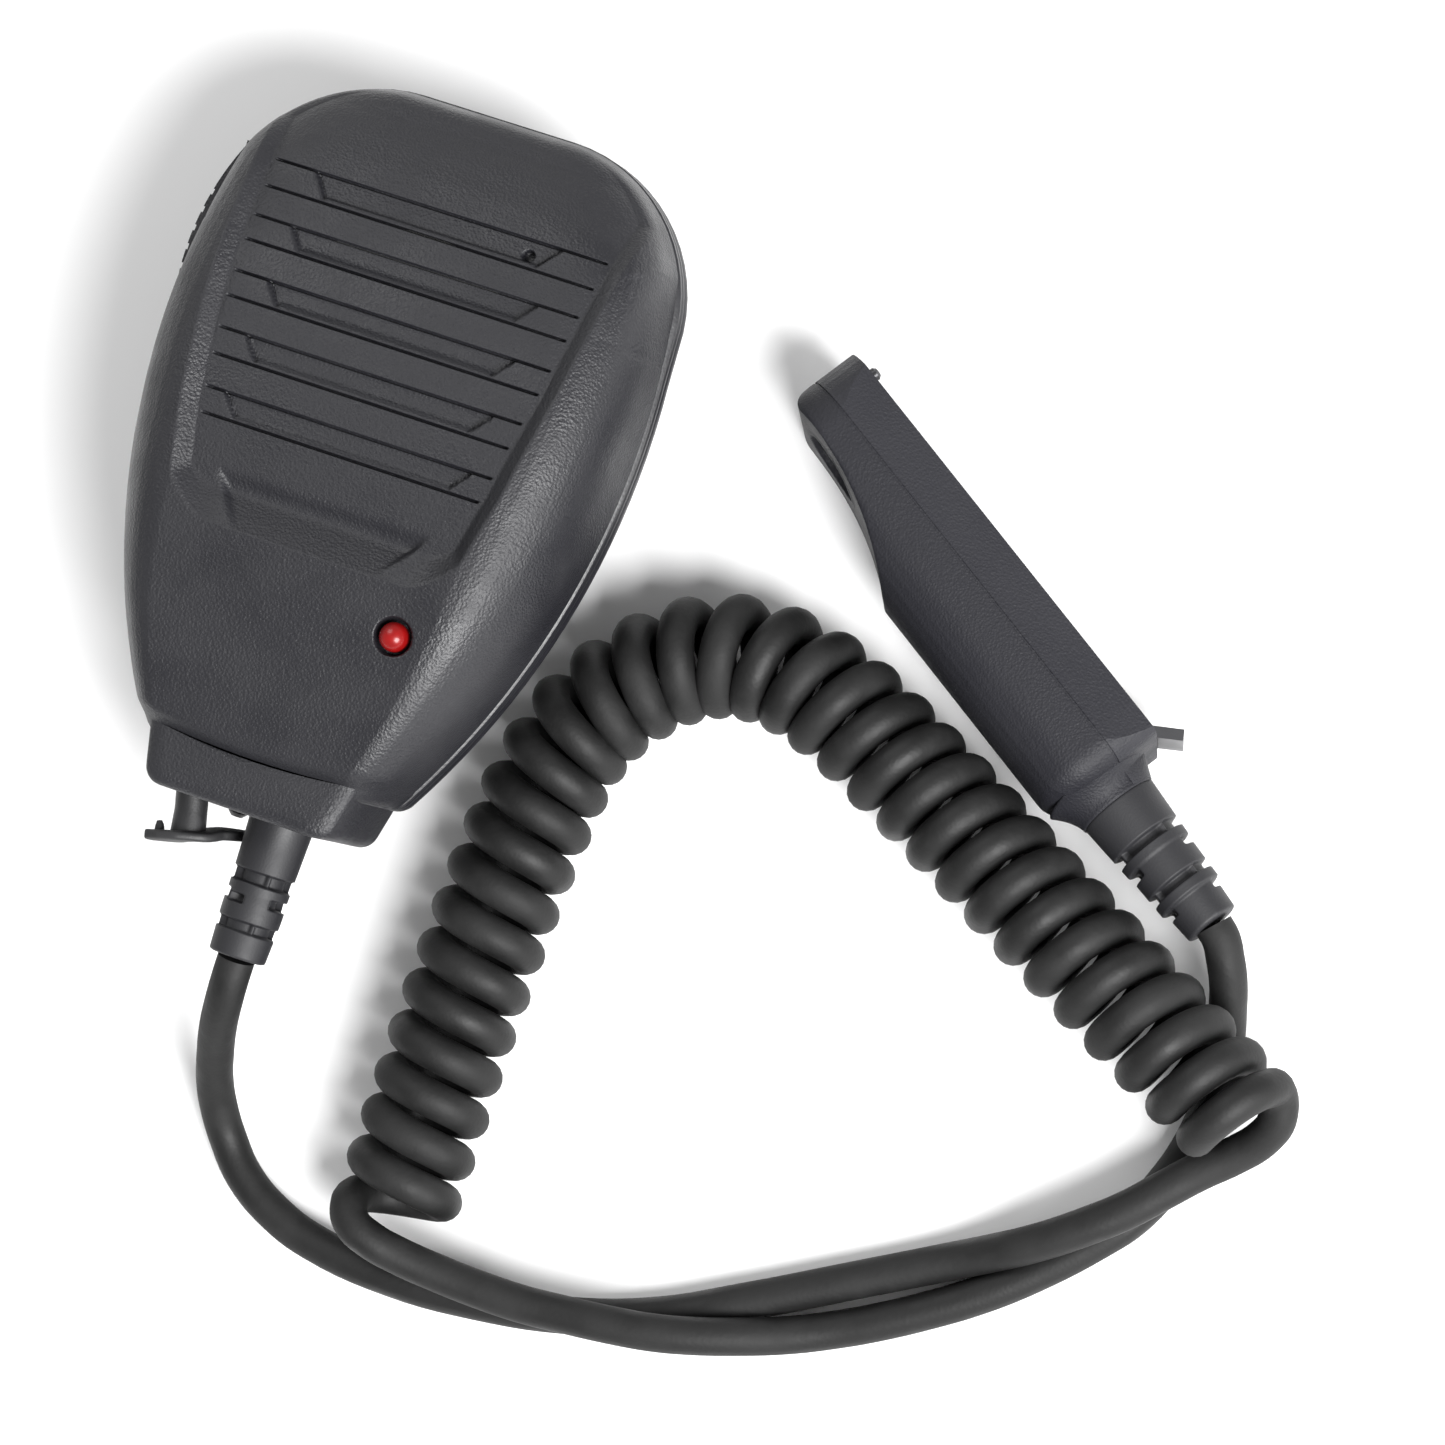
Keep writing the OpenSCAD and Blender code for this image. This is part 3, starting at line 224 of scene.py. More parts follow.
SHELL = moulded("shell_black", (0.0085, 0.0085, 0.0112), 0.47, 0.32, 0.11, 0.2)
SHELL_SMOOTH = moulded("shell_smooth", (0.010, 0.010, 0.0125), 0.42, 0.3, 0.03, 0.25)
CLIP = moulded("clip_black", (0.0095, 0.0095, 0.011), 0.42, 0.3, 0.012, 0.3)
PLUG = moulded("plug_black", (0.0095, 0.0095, 0.013), 0.58, 0.3, 0.1, 0.2, shine=0.35)
CORD = moulded("cord_rubber", (0.005, 0.005, 0.005), 0.66, 0.5, 0.03, 0.0, 0.16, shine=0.34, dust=0.4)
RELIEF = moulded("relief_rubber", (0.0085, 0.0085, 0.0105), 0.6, 0.25, 0.02, 0.25)
SOFT = moulded("soft_rubber", (0.0085, 0.0085, 0.0095), 0.6, 0.25, 0.02, 0.3)
INNER = moulded("inner_black", (0.025, 0.025, 0.025), 0.5, 0.3, 0.01, 0.2)
SCREW = moulded("screw_black", (0.045, 0.045, 0.048), 0.35, 0.2, 0.006, 0.6, 0.1, 0.7)
BOARD = moulded("board_green", (0.02, 0.13, 0.05), 0.35, 0.4, 0.01, 0.3)
CONE = moulded("cone_grey", (0.09, 0.09, 0.1), 0.35, 0.5, 0.01, 0.1)
STEEL = brushed("steel", (0.62, 0.62, 0.63), 0.32)
GOLD = brushed("contact_gold", (0.85, 0.62, 0.22), 0.25)
CLOTH = woven("cloth_black", (0.015, 0.015, 0.015))
LED = lamp("lamp_red", (0.12, 0.0015, 0.0015))

FINISH = {
    "shell_black": SHELL,
    "clip_black": CLIP,
    "plug_black": PLUG,
    "cord_rubber": RELIEF,
    "soft_rubber": SOFT,
    "inner_black": INNER,
    "screw_black": SCREW,
    "steel": STEEL,
    "cloth_black": CLOTH,
    "cone_grey": CONE,
    "board_green": BOARD,
    "lamp_red": LED,
    "contact_gold": GOLD,
}


# ---- Mesh helpers ----
def finish_piece(mesh, name, finish, body):
    """An object of the mesh, smooth shaded, on its body and with its material."""
    obj = bpy.data.objects.new(name, mesh)
    bpy.context.scene.collection.objects.link(obj)
    mesh.materials.append(finish)
    for face in mesh.polygons:
        face.use_smooth = True
    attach(obj, body)
    return obj


def skin(rows, name, finish, body="housing", closed=False, caps=False, keep=None):
    """A surface through rows of points in millimetres. closed joins each row's end to its start, caps
    fills the first and last row, and keep tells from a face's first corner whether the face stays."""
    grid = np.asarray(rows, float)
    n_rows, n_cols = grid.shape[:2]
    verts = [at(*p) for p in grid.reshape(-1, 3)]
    span = n_cols if closed else n_cols - 1
    faces = []
    for r in range(n_rows - 1):
        for c in range(span):
            a, b = r * n_cols + c, r * n_cols + (c + 1) % n_cols
            if keep is None or keep(grid[r, c]):
                faces.append((a, b, b + n_cols, a + n_cols))
    if caps:
        faces.append(tuple(reversed(range(n_cols))))
        faces.append(tuple((n_rows - 1) * n_cols + c for c in range(n_cols)))
    mesh = bpy.data.meshes.new(name)
    mesh.from_pydata(verts, [], faces)
    mesh.validate()
    fix = bmesh.new()
    fix.from_mesh(mesh)
    bmesh.ops.remove_doubles(fix, verts=fix.verts, dist=1e-6)
    bmesh.ops.recalc_face_normals(fix, faces=fix.faces)
    fix.to_mesh(mesh)
    fix.free()
    return finish_piece(mesh, name, finish, body)


def soften(obj, width):
    """Rounds an object's sharp edges by a width in millimetres, with shading to match."""
    bevel = obj.modifiers.new("edges", "BEVEL")
    bevel.width = width * MM
    bevel.segments = 3
    bevel.limit_method = "ANGLE"
    bevel.angle_limit = math.radians(32)
    bevel.harden_normals = True
    bevel.use_clamp_overlap = True


def smooth_step(t):
    """Eases from 0 to 1 as t goes from 0 to 1."""
    t = np.clip(t, 0, 1)
    return t * t * (3 - 2 * t)


def between(start, end, low, high, s):
    """Between start and end as s goes from low to high."""
    return ((high - s) * start + (s - low) * end) / (high - low)


def spline(points, per_step):
    """A centripetal Catmull-Rom curve through points, as an array."""
    p = [np.asarray(q, float) for q in points]
    p = [2 * p[0] - p[1]] + p + [2 * p[-1] - p[-2]]
    out = []
    for i in range(1, len(p) - 2):
        t = [0.0]
        for k in range(3):
            t.append(t[-1] + max(np.linalg.norm(p[i + k] - p[i + k - 1]), 1e-6) ** 0.5)
        for s in np.linspace(t[1], t[2], per_step, endpoint=False):
            a = [between(p[i + k - 1], p[i + k], t[k], t[k + 1], s) for k in range(3)]
            b = [between(a[k], a[k + 1], t[k], t[k + 2], s) for k in range(2)]
            out.append(between(b[0], b[1], t[1], t[2], s))
    out.append(p[-2])
    return np.array(out)


# ---- Cord: the same route as the CAD's, with the curl as a helix round its axis ----
# COIL is the curl's axis from its left end; each tail runs from the relief or curl that it leaves
CORD_D = 4.3
COIL_D = 14.2
COIL_TURNS = 32
POINTS_PER_TURN = 14
COIL = [(25.7, -79, 7.15), (25.6, -73, 7.15), (25.6, -67, 7.15), (25.5, -61.5, 7.15),
        (25.5, -56, 7.15), (25.6, -50, 7.15), (25.7, -44, 7.15), (25.9, -39, 7.15),
        (26.2, -34, 7.15), (27, -26.5, 7.15), (28.6, -20.7, 7.15), (31.6, -15.7, 7.15),
        (35.5, -11.6, 7.15), (40.3, -8.7, 7.15), (45.8, -7.5, 7.15), (51.3, -8, 7.15),
        (57.3, -10, 7.2), (63.2, -12.7, 7.4), (70, -16, 7.9), (77, -19.5, 8.6),
        (84, -23.1, 9.4), (91.3, -26.8, 10.2), (98.5, -30.4, 10.9), (105.7, -34, 11.5),
        (114.5, -38.4, 12)]
TAIL_MIC = [(2.6, -57.6, 20), (2.5, -59.6, 19.6), (2.1, -62.4, 17.9), (1.4, -65.6, 14.7),
            (0.9, -69, 10.8), (0.8, -72, 7.6), (1.4, -75, 4.8), (3, -78.2, 2.8),
            (6.2, -81.8, 2.2), (11.3, -84.7, 2.2), (16.4, -86.2, 2.2), (26.7, -87, 2.2),
            (36.8, -86.2, 2.2), (46.9, -84.3, 2.2), (56.9, -80.9, 2.2), (66.7, -75.7, 2.2),
            (76.6, -70, 2.2), (86.3, -64.4, 2.5), (91.2, -61.6, 3.6), (96, -58.7, 5.4),
            (101, -55, 6.5), (104.6, -51.9, 6.7), (107.7, -48.6, 6.6), (110.7, -45.4, 6.4),
            (113.8, -42.5, 6.5), (116.4, -39.6, 7.6), (117.5, -37, 9.2)]
TAIL_PLUG = [(21, -80.2, 9.2), (22.3, -81.9, 10.2), (24.8, -83, 10),
             (28, -83.7, 8.8), (33, -84.2, 7.5), (38, -84.4, 6.8), (43, -84.3, 6.6),
             (48, -83.8, 6.6), (53, -83.2, 6.6), (58, -82.4, 6.4), (62.4, -81.3, 5.8),
             (67, -79.8, 4.7), (72, -77.9, 3), (76.8, -75.6, 2.2), (81.5, -73, 2.2),
             (86.4, -69.9, 2.2), (91.2, -66.5, 2.2), (96.1, -62.3, 2.2), (101.8, -56.4, 2.2),
             (104.8, -52.6, 2.2), (106.9, -48, 2.2), (108.4, -42.7, 2.2), (108.8, -38, 2.2),
             (108.6, -33.1, 2.3), (108.2, -30.2, 3.1), (107.7, -27.4, 4.7), (107.2, -24.8, 6.6),
             (106.3, -22.3, 8.5), (105.3, -20.4, 9.4), (104.1, -19.3, 9.6)]


def helix():
    """The curl from its left end: a left-handed helix that starts and ends on the axis's left."""
    axis = spline(COIL, 40)
    steps = np.linalg.norm(np.diff(axis, axis=0), axis=1)
    far = np.concatenate([[0], np.cumsum(steps)])
    slope = np.gradient(axis, axis=0)
    radius = (COIL_D - CORD_D) / 2
    points = []
    count = COIL_TURNS * POINTS_PER_TURN
    for k in range(count + 1):
        s = far[-1] * k / count
        middle = np.array([np.interp(s, far, axis[:, i]) for i in range(3)])
        ahead = np.array([np.interp(s, far, slope[:, i]) for i in range(3)])
        ahead = ahead / np.linalg.norm(ahead)
        left = np.cross((0, 0, 1), ahead)
        left = left / np.linalg.norm(left)
        over = np.cross(ahead, left)
        angle = math.pi + 2 * math.pi * k / POINTS_PER_TURN
        points.append(middle - radius * math.cos(angle) * left + radius * math.sin(angle) * over)
    return points


def make_cord():
    """The cord as one curve, with its length in millimetres."""
    turns = helix()
    tail_mic = [np.array(p, float) for p in TAIL_MIC]
    tail_plug = [np.array(p, float) for p in TAIL_PLUG]
    route = tail_mic + turns[::-1] + tail_plug
    data = bpy.data.curves.new("cord", "CURVE")
    data.dimensions = "3D"
    data.bevel_depth = CORD_D / 2 * MM
    data.bevel_resolution = 7
    data.resolution_u = 5
    data.use_fill_caps = True
    line = data.splines.new("BEZIER")
    line.bezier_points.add(len(route) - 1)
    for knot, p in zip(line.bezier_points, route):
        knot.co = at(*p)
        knot.handle_left_type = "AUTO"
        knot.handle_right_type = "AUTO"
    data.materials.append(CORD)
    obj = bpy.data.objects.new("cord", data)
    bpy.context.scene.collection.objects.link(obj)
    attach(obj, "housing")
    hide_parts("cord_tail_mic", "cord_coil", "cord_tail_plug")
    fine = spline(route, 4)
    return obj, float(np.linalg.norm(np.diff(fine, axis=0), axis=1).sum())


cord, cord_length = make_cord()

# ---- Housing outline and front face, as the CAD has them ----
HALF_W = 27.7
TOP_Y = 40.5
CORNER_R = 18
CORNER_SWEEP = 84
CORNER = (HALF_W - CORNER_R - 0.5, TOP_Y - CORNER_R)
SIDE_R = 90
SIDE = (HALF_W - SIDE_R, 11)
SIDE_END = math.radians(-31)
SIDE_START = math.radians(4.5)
FOOT_R = 2.5
FOOT = (SIDE[0] + (SIDE_R - FOOT_R) * math.cos(SIDE_END), SIDE[1] + (SIDE_R - FOOT_R) * math.sin(SIDE_END))
END_Y = FOOT[1] - FOOT_R
CORNER_JOIN_Y = 19.5
PARTING_Z = 19
BACK_Z = 11.5
FACE_Z = 36.1
FACE_R = 102
FACE_APEX = -6


def half_width(y):
    """Half of the outline's width at y."""
    y = np.asarray(y, float)
    corner = CORNER[0] + np.sqrt(np.maximum(CORNER_R**2 - np.maximum(y - CORNER[1], 0) ** 2, 0))
    side = SIDE[0] + np.sqrt(SIDE_R**2 - (y - SIDE[1]) ** 2)
    foot = FOOT[0] + np.sqrt(np.maximum(FOOT_R**2 - np.minimum(y - FOOT[1], 0) ** 2, 0))
    foot_top = FOOT[1] + FOOT_R * math.sin(SIDE_END)
    below = np.where(y < foot_top, np.minimum(foot, side), side)
    return np.where(y > CORNER_JOIN_Y, np.minimum(corner, side), below)


def inset(x, y):
    """How far a point lies inside the outline, measured as the shoulder's levels are."""
    y = np.asarray(y, float)
    x = np.abs(x)
    taper = np.clip(0.42 + 0.58 * (y - END_Y) / 34, 0.42, 1)
    lean = np.cos(np.arcsin(np.clip((y - SIDE[1]) / SIDE_R, -1, 1)))
    beside = (half_width(y) - x) / (taper * lean)
    around = CORNER_R - np.hypot(np.maximum(x - CORNER[0], 0), np.maximum(y - CORNER[1], 0))
    return np.where(y > CORNER[1], np.minimum(around, beside), beside)


def face_z(y):
    """The height of the face's long curve at y."""
    return FACE_Z - FACE_R + np.sqrt(FACE_R**2 - (y - FACE_APEX) ** 2)


# The shoulder's height at each inset: a steep wall, a soft crease, then the rounded shoulder
SHOULDER_IN = [0, 0.1, 0.2, 0.28, 0.42, 0.6, 0.85, 1.3, 2.0, 2.8, 3.8, 5.0, 6.2, 7.6, 9.2, 40]
SHOULDER_UP = [0, 0.1, 0.2, 0.27, 0.39, 0.48, 0.56, 0.65, 0.74, 0.81, 0.87, 0.925, 0.96, 0.985, 1, 1]
# The recess round the grille: half of its floor's width at each y, and its slanted walls
RECESS_Y = [-40, -14, -8.6, 0, 12, 20, 32, 41]
RECESS_HALF = [8, 14.2, 15.6, 17.5, 19.3, 20, 20.9, 21.3]
RECESS_SLOPE = 1.8
RECESS_LOW = -12.5
RECESS_LOW_SLOPE = 3.9
FLOOR_DEEP = 1.5
# A lower step at the recess's foot, narrower towards its end
STEP_Y = -6.2
STEP_DEEP = 0.8
STEP_HALF = 13.4
STEP_LEAN = 0.75
# The valley above the neck, the lamp's hole and the microphone's pinhole
VALLEY_DEEP = 1.75
LED_HOLE_R = 1.85
PINHOLE_R = 0.55
# The grille's sunken bars as (top, low) lines, each with a groove on both lines and slanted ends
CHANNELS = [(28.2, 25), (21.5, 18.6), (14.9, 12), (8.4, 5.4), (1.7, -1.2)]
GROOVE_W = 0.28
GROOVE_DEPTH = 0.9
INSET_TOP = 14.95
INSET_LOW = 12.5
INSET_DEPTH = 0.7
led_low, led_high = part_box("led_lens")
LED_AT = (((led_low[0] + led_high[0]) / 2 - START.x) / MM, ((led_low[1] + led_high[1]) / 2 - START.y) / MM)
mic_low, mic_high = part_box("mic_capsule")
PINHOLE = (((mic_low[0] + mic_high[0]) / 2 - START.x) / MM, ((mic_low[1] + mic_high[1]) / 2 - START.y) / MM)


def recess_half(y):
    """Half of the recess floor's width, kept inside the outline near the top."""
    return np.minimum(np.interp(y, RECESS_Y, RECESS_HALF), half_width(y) - 2.3)


def groove(distance, width, depth):
    """A narrow round-edged groove at distance from its middle."""
    return depth * (1 - smooth_step((np.abs(distance) - width * 0.28) / (width * 0.4)))


def neck_line(x):
    """Where the neck's face begins, below a valley across the housing's end."""
    return -36 + 0.9 * (x / 12) ** 2


def front_height(x, y):
    """Height of the front shell's surface: face, shoulder, recess, grille lines and lamp hole."""
    d = inset(x, y)
    outer = PARTING_Z + np.interp(d, SHOULDER_IN, SHOULDER_UP) * (face_z(y) - PARTING_Z)
    half = recess_half(y)
    across = (half + RECESS_SLOPE - np.abs(x)) / RECESS_SLOPE
    corner_x = np.maximum(np.abs(x) - (half - 3), 0) / 3
    up = (y - RECESS_LOW - 1.6 * corner_x**2) / RECESS_LOW_SLOPE
    inside = np.clip(np.minimum(across, up), 0, 1)
    step_end = STEP_HALF - STEP_LEAN * np.maximum(STEP_Y - y, 0)
    step = smooth_step((STEP_Y - y) / 1.9) * np.clip((step_end - np.abs(x)) / 0.8, 0, 1)
    fade = np.interp(y, [33, 37, 39.5], [1, 0.7, 0])
    z = outer - inside * (FLOOR_DEEP * fade + STEP_DEEP * step)
    on_floor = np.clip((half - 0.4 - np.abs(x)) / 0.6, 0, 1)
    for top, low in CHANNELS:
        z = z - on_floor * groove(y - top, GROOVE_W, GROOVE_DEPTH)
        z = z - on_floor * groove(y - low, GROOVE_W, GROOVE_DEPTH)
        share = np.clip((y - low) / (top - low), 0, 1)
        end = INSET_LOW + (INSET_TOP - INSET_LOW) * share
        pocket = np.minimum.reduce([(end - np.abs(x)) / 0.16, (top - y) / 0.2, (y - low - 0.55) / 0.2])
        z = z - INSET_DEPTH * np.clip(pocket, 0, 1)
        slit = on_floor * groove(np.abs(x) - end, 0.3, 0.7) * np.clip((y - low - 0.4) / 0.2, 0, 1)
        z = z - slit * np.clip((top - y) / 0.2, 0, 1)
    from_led = np.hypot(x - LED_AT[0], y - LED_AT[1])
    z = z - 1.5 * (1 - smooth_step((from_led - LED_HOLE_R) / 0.4))
    from_hole = np.hypot(x - PINHOLE[0], y - PINHOLE[1])
    z = z - 1.2 * (1 - smooth_step((from_hole - PINHOLE_R) / 0.2))
    return z - VALLEY_DEEP * smooth_step((neck_line(x) + 1.5 - y) / 2.1)


# The talk key's window, and the distances from an edge at which the front has a line of points
KEY_Y = (8.75, 31.35)
KEY_TOP_Z = 23.75
EDGE_STEPS = [0.015, 0.05, 0.1, 0.17, 0.25, 0.34, 0.44, 0.56, 0.72, 0.92, 1.2, 1.55, 2.0]


ROW_STEP = 0.42
CLOSEST_ROWS = 0.035


def front_rows():
    """The rows of the front surface: fine at the grille lines, the lamp and the ends."""
    y = list(np.arange(END_Y + 0.01, TOP_Y - 2.2, ROW_STEP))
    for pair in CHANNELS:
        for line in pair:
            y = [v for v in y if abs(v - line) > 0.45]
            y += [line + k * GROOVE_W for k in (-0.9, -0.68, -0.45, -0.28, 0, 0.28, 0.45, 0.68, 0.9)]
    y += list(np.arange(LED_AT[1] - 2.5, LED_AT[1] + 2.5, 0.14))
    y += list(np.arange(PINHOLE[1] - 0.9, PINHOLE[1] + 0.9, 0.12))
    y += [END_Y + 0.1, END_Y + 0.25, END_Y + 0.5]
    y += [RECESS_LOW + k * 0.15 for k in (-2, -1, 0, 1, 2)]
    y += [TOP_Y - e for e in EDGE_STEPS] + [TOP_Y]
    y = sorted(y)
    return [v for i, v in enumerate(y) if i == 0 or v - y[i - 1] > CLOSEST_ROWS]


def open_key_window(obj):
    """Cuts the talk key's window out of the shell's left wall, along three straight lines."""
    shape = bmesh.new()
    shape.from_mesh(obj.data)
    reach = at(-20, KEY_Y[0] - 2, 0), at(-20, KEY_Y[1] + 2, 0)

    def beside_key(piece):
        spot = piece.calc_center_median()
        return spot.x < reach[0].x and reach[0].y < spot.y < reach[1].y

    lines = [(at(0, 0, KEY_TOP_Z), (0, 0, 1)), (at(0, KEY_Y[0], 0), (0, 1, 0)),
             (at(0, KEY_Y[1], 0), (0, 1, 0))]
    for place, across in lines:
        faces = [f for f in shape.faces if beside_key(f)]
        edges = list({e for f in faces for e in f.edges})
        verts = list({v for f in faces for v in f.verts})
        bmesh.ops.bisect_plane(shape, geom=verts + edges + faces, plane_co=place, plane_no=across)
    low, high = at(-40, KEY_Y[0], 0), at(-20, KEY_Y[1], KEY_TOP_Z)
    window = []
    for face in shape.faces:
        spot = face.calc_center_median()
        if low.x < spot.x < high.x and low.y < spot.y < high.y and spot.z < high.z:
            window.append(face)
    bmesh.ops.delete(shape, geom=window, context="FACES")
    shape.to_mesh(obj.data)
    shape.free()


FLOOR_COLUMNS = 131
WALL_COLUMNS = 6
SHOULDER_COLUMNS = 22


def make_front():
    """The front shell, from its parting line over the shoulder and the recess."""
    floor_u = np.linspace(0, 1, FLOOR_COLUMNS, endpoint=False)
    wall_u = np.linspace(0, 1, WALL_COLUMNS, endpoint=False)
    rows = []
    for y in front_rows():
        full = float(half_width(y))
        half = float(recess_half(y))
        slope = min(RECESS_SLOPE, (full - half) * 0.4)
        start = half + slope
        room = full - start
        if EDGE_STEPS[-1] < room * 0.6:
            edge = np.array(EDGE_STEPS)
            rim_gap = 0.3
        else:
            edge = np.linspace(0.02, room * 0.55, len(EDGE_STEPS))
            rim_gap = 0.05
        rim = full - edge[::-1]
        shoulder_x = np.linspace(start, rim[0] - rim_gap, SHOULDER_COLUMNS)
        x = np.concatenate([floor_u * half, half + wall_u * slope, shoulder_x, rim, [full]])
        x = np.concatenate([-x[:0:-1], x])
        z = front_height(x, np.full_like(x, y))
        z[0] = z[-1] = PARTING_Z
        rows.append(np.stack([x, np.full_like(x, y), z], axis=1))
    under = [rows[0].copy() for _ in range(4)]
    for k, row in enumerate(under):
        row[:, 2] = PARTING_Z + (row[:, 2] - PARTING_Z) * k / 4
    rows[-1][:, 2] = PARTING_Z
    obj = skin(under + rows, "front_shell", SHELL)
    open_key_window(obj)
    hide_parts("front_cover")


def rounded_outline(points, radius):
    """A closed outline with every corner rounded."""
    steps = 6
    out = []
    n = len(points)
    for i in range(n):
        p, a, b = (np.array(points[j % n], float) for j in (i, i - 1, i + 1))
        to_a = (a - p) / np.linalg.norm(a - p)
        to_b = (b - p) / np.linalg.norm(b - p)
        turn = math.acos(np.clip(np.dot(to_a, to_b), -1, 1))
        cut = radius / math.tan(turn / 2)
        middle = p + (to_a + to_b) / np.linalg.norm(to_a + to_b) * radius / math.sin(turn / 2)
        first = p + to_a * cut - middle
        last = p + to_b * cut - middle
        sweep = math.atan2(first[0] * last[1] - first[1] * last[0], np.dot(first, last))
        for k in range(steps + 1):
            t = sweep * k / steps
            spin = np.array([[math.cos(t), -math.sin(t)], [math.sin(t), math.cos(t)]])
            out.append(middle + spin @ first)
    return np.array(out)


def resample(loop, count):
    """The same closed outline with evenly spaced points."""
    loop = np.vstack([loop, loop[:1]])
    far = np.concatenate([[0], np.cumsum(np.linalg.norm(np.diff(loop, axis=0), axis=1))])
    steps = np.linspace(0, far[-1], count, endpoint=False)
    return np.column_stack([np.interp(steps, far, loop[:, i]) for i in range(2)])


NECK = [(-13.6, -31), (-11.1, -41.8), (11.1, -41.8), (13.6, -31)]
NECK_CORNER = 2.2
NECK_Z = (11.8, 30.5)
NECK_EDGE = 1.1
NECK_FRONT_EDGE = 2.6


def make_neck():
    """The block at the housing's end that holds the cord; its edges are rounded, most at the front."""
    plan = resample(rounded_outline(NECK, NECK_CORNER), 220)
    middle = plan.mean(axis=0)
    rows = []
    for z, side in ((NECK_Z[0], 1), (NECK_Z[1], -1)):
        arc = []
        for k in range(7):
            t = math.pi / 2 * k / 6
            reach = NECK_EDGE if side > 0 else NECK_FRONT_EDGE
            inward = reach * (1 - math.sin(t))
            lift = NECK_EDGE * (1 - math.cos(t))
            away = (plan - middle) / np.linalg.norm(plan - middle, axis=1)[:, None]
            ring = plan - away * inward
            if side < 0 and k < 6:
                ring[:, 1] = np.minimum(ring[:, 1], neck_line(ring[:, 0]))
            arc.append(np.column_stack([ring, np.full(len(ring), z + side * lift)]))
        rows += arc if side > 0 else arc[::-1]
    skin(rows, "neck", SHELL, closed=True, caps=True)


def outline_ring(grow, z):
    """The housing's outline moved out by grow, at height z, as a closed ring."""
    right = []
    for k in range(15):
        a = math.radians(90 - CORNER_SWEEP * k / 14)
        reach = CORNER_R + grow
        right.append((CORNER[0] + reach * math.cos(a), CORNER[1] + reach * math.sin(a)))
    for k in range(22):
        a = SIDE_START + (SIDE_END - SIDE_START) * k / 21
        right.append((SIDE[0] + (SIDE_R + grow) * math.cos(a), SIDE[1] + (SIDE_R + grow) * math.sin(a)))
    for k in range(1, 8):
        a = SIDE_END + (-math.pi / 2 - SIDE_END) * k / 7
        reach = max(FOOT_R + grow, 0.2)
        right.append((FOOT[0] + reach * math.cos(a), FOOT[1] + (FOOT_R + min(grow, 0)) * math.sin(a)))
    left = [(-x, y) for x, y in right[::-1]]
    return [(x, y, z) for x, y in right + left]


# The rear shell from its parting line down: a groove, two fine ridges and a rounded back edge
REAR = [(-0.9, 19.3), (-0.42, 19.3), (-0.42, 18.75), (-0.1, 18.6), (0.13, 18.4), (0.15, 17.9), (0.02, 17.72),
        (0.02, 17.5), (0.15, 17.3), (0.15, 16.8), (0.02, 16.62), (0.02, 16.4), (0.15, 16.2), (0.15, 15.3),
        (-0.1, 14.3), (-0.55, 13.3), (-1.05, 12.6), (-1.7, 12.05), (-2.5, 11.68), (-3.4, 11.52),
        (-4.2, BACK_Z)]


def cut(obj, cutter):
    """Takes cutter's volume out of obj and removes cutter."""
    change = obj.modifiers.new("cut", "BOOLEAN")
    change.operation = "DIFFERENCE"
    change.solver = "EXACT"
    change.object = cutter
    bpy.context.view_layer.update()
    shaped = bpy.data.meshes.new_from_object(obj.evaluated_get(bpy.context.evaluated_depsgraph_get()))
    obj.modifiers.remove(change)
    obj.data = shaped
    bpy.data.objects.remove(cutter)


def cutter_from(parts):
    """One cutting object from (kind, middle, size) parts: a box or an upright cylinder."""
    shape = bmesh.new()
    for kind, middle, size in parts:
        if kind == "box":
            made = bmesh.ops.create_cube(shape, size=1)["verts"]
        else:
            round_bar = bmesh.ops.create_cone(shape, cap_ends=True, segments=48, radius1=0.5,
                                              radius2=0.5, depth=1)
            made = round_bar["verts"]
        bmesh.ops.scale(shape, vec=Vector(size) * MM, verts=made)
        bmesh.ops.translate(shape, vec=at(*middle), verts=made)
    mesh = bpy.data.meshes.new("cutter")
    shape.to_mesh(mesh)
    shape.free()
    obj = bpy.data.objects.new("cutter", mesh)
    bpy.context.scene.collection.objects.link(obj)
    return obj


# The middles of the four screws in the rear shell
SCREWS = [(16.5, 29.5), (-16.5, 29.5), (15.6, -24), (-15.6, -24)]


def make_rear():
    """The rear shell, with its four screw holes and the lower part of the key's window."""
    rows = [outline_ring(grow, z) for grow, z in REAR]
    obj = skin(rows, "rear_shell", SHELL_SMOOTH, closed=True, caps=True)
    holes = [("round", (x, y, BACK_Z), (4.5, 4.5, 2.7)) for x, y in SCREWS]
    holes.append(("box", (-27, 20.05, 20), (9, KEY_Y[1] - KEY_Y[0], 11.5)))
    cut(obj, cutter_from(holes))
    for face in obj.data.polygons:
        face.use_smooth = True
    obj.data.set_sharp_from_angle(angle=math.radians(38))
    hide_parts("rear_cover")


make_front()
make_neck()
make_rear()


# ---- Strain reliefs: tapered sleeves with ring grooves and staggered notches ----
RELIEF_SIDES = 96


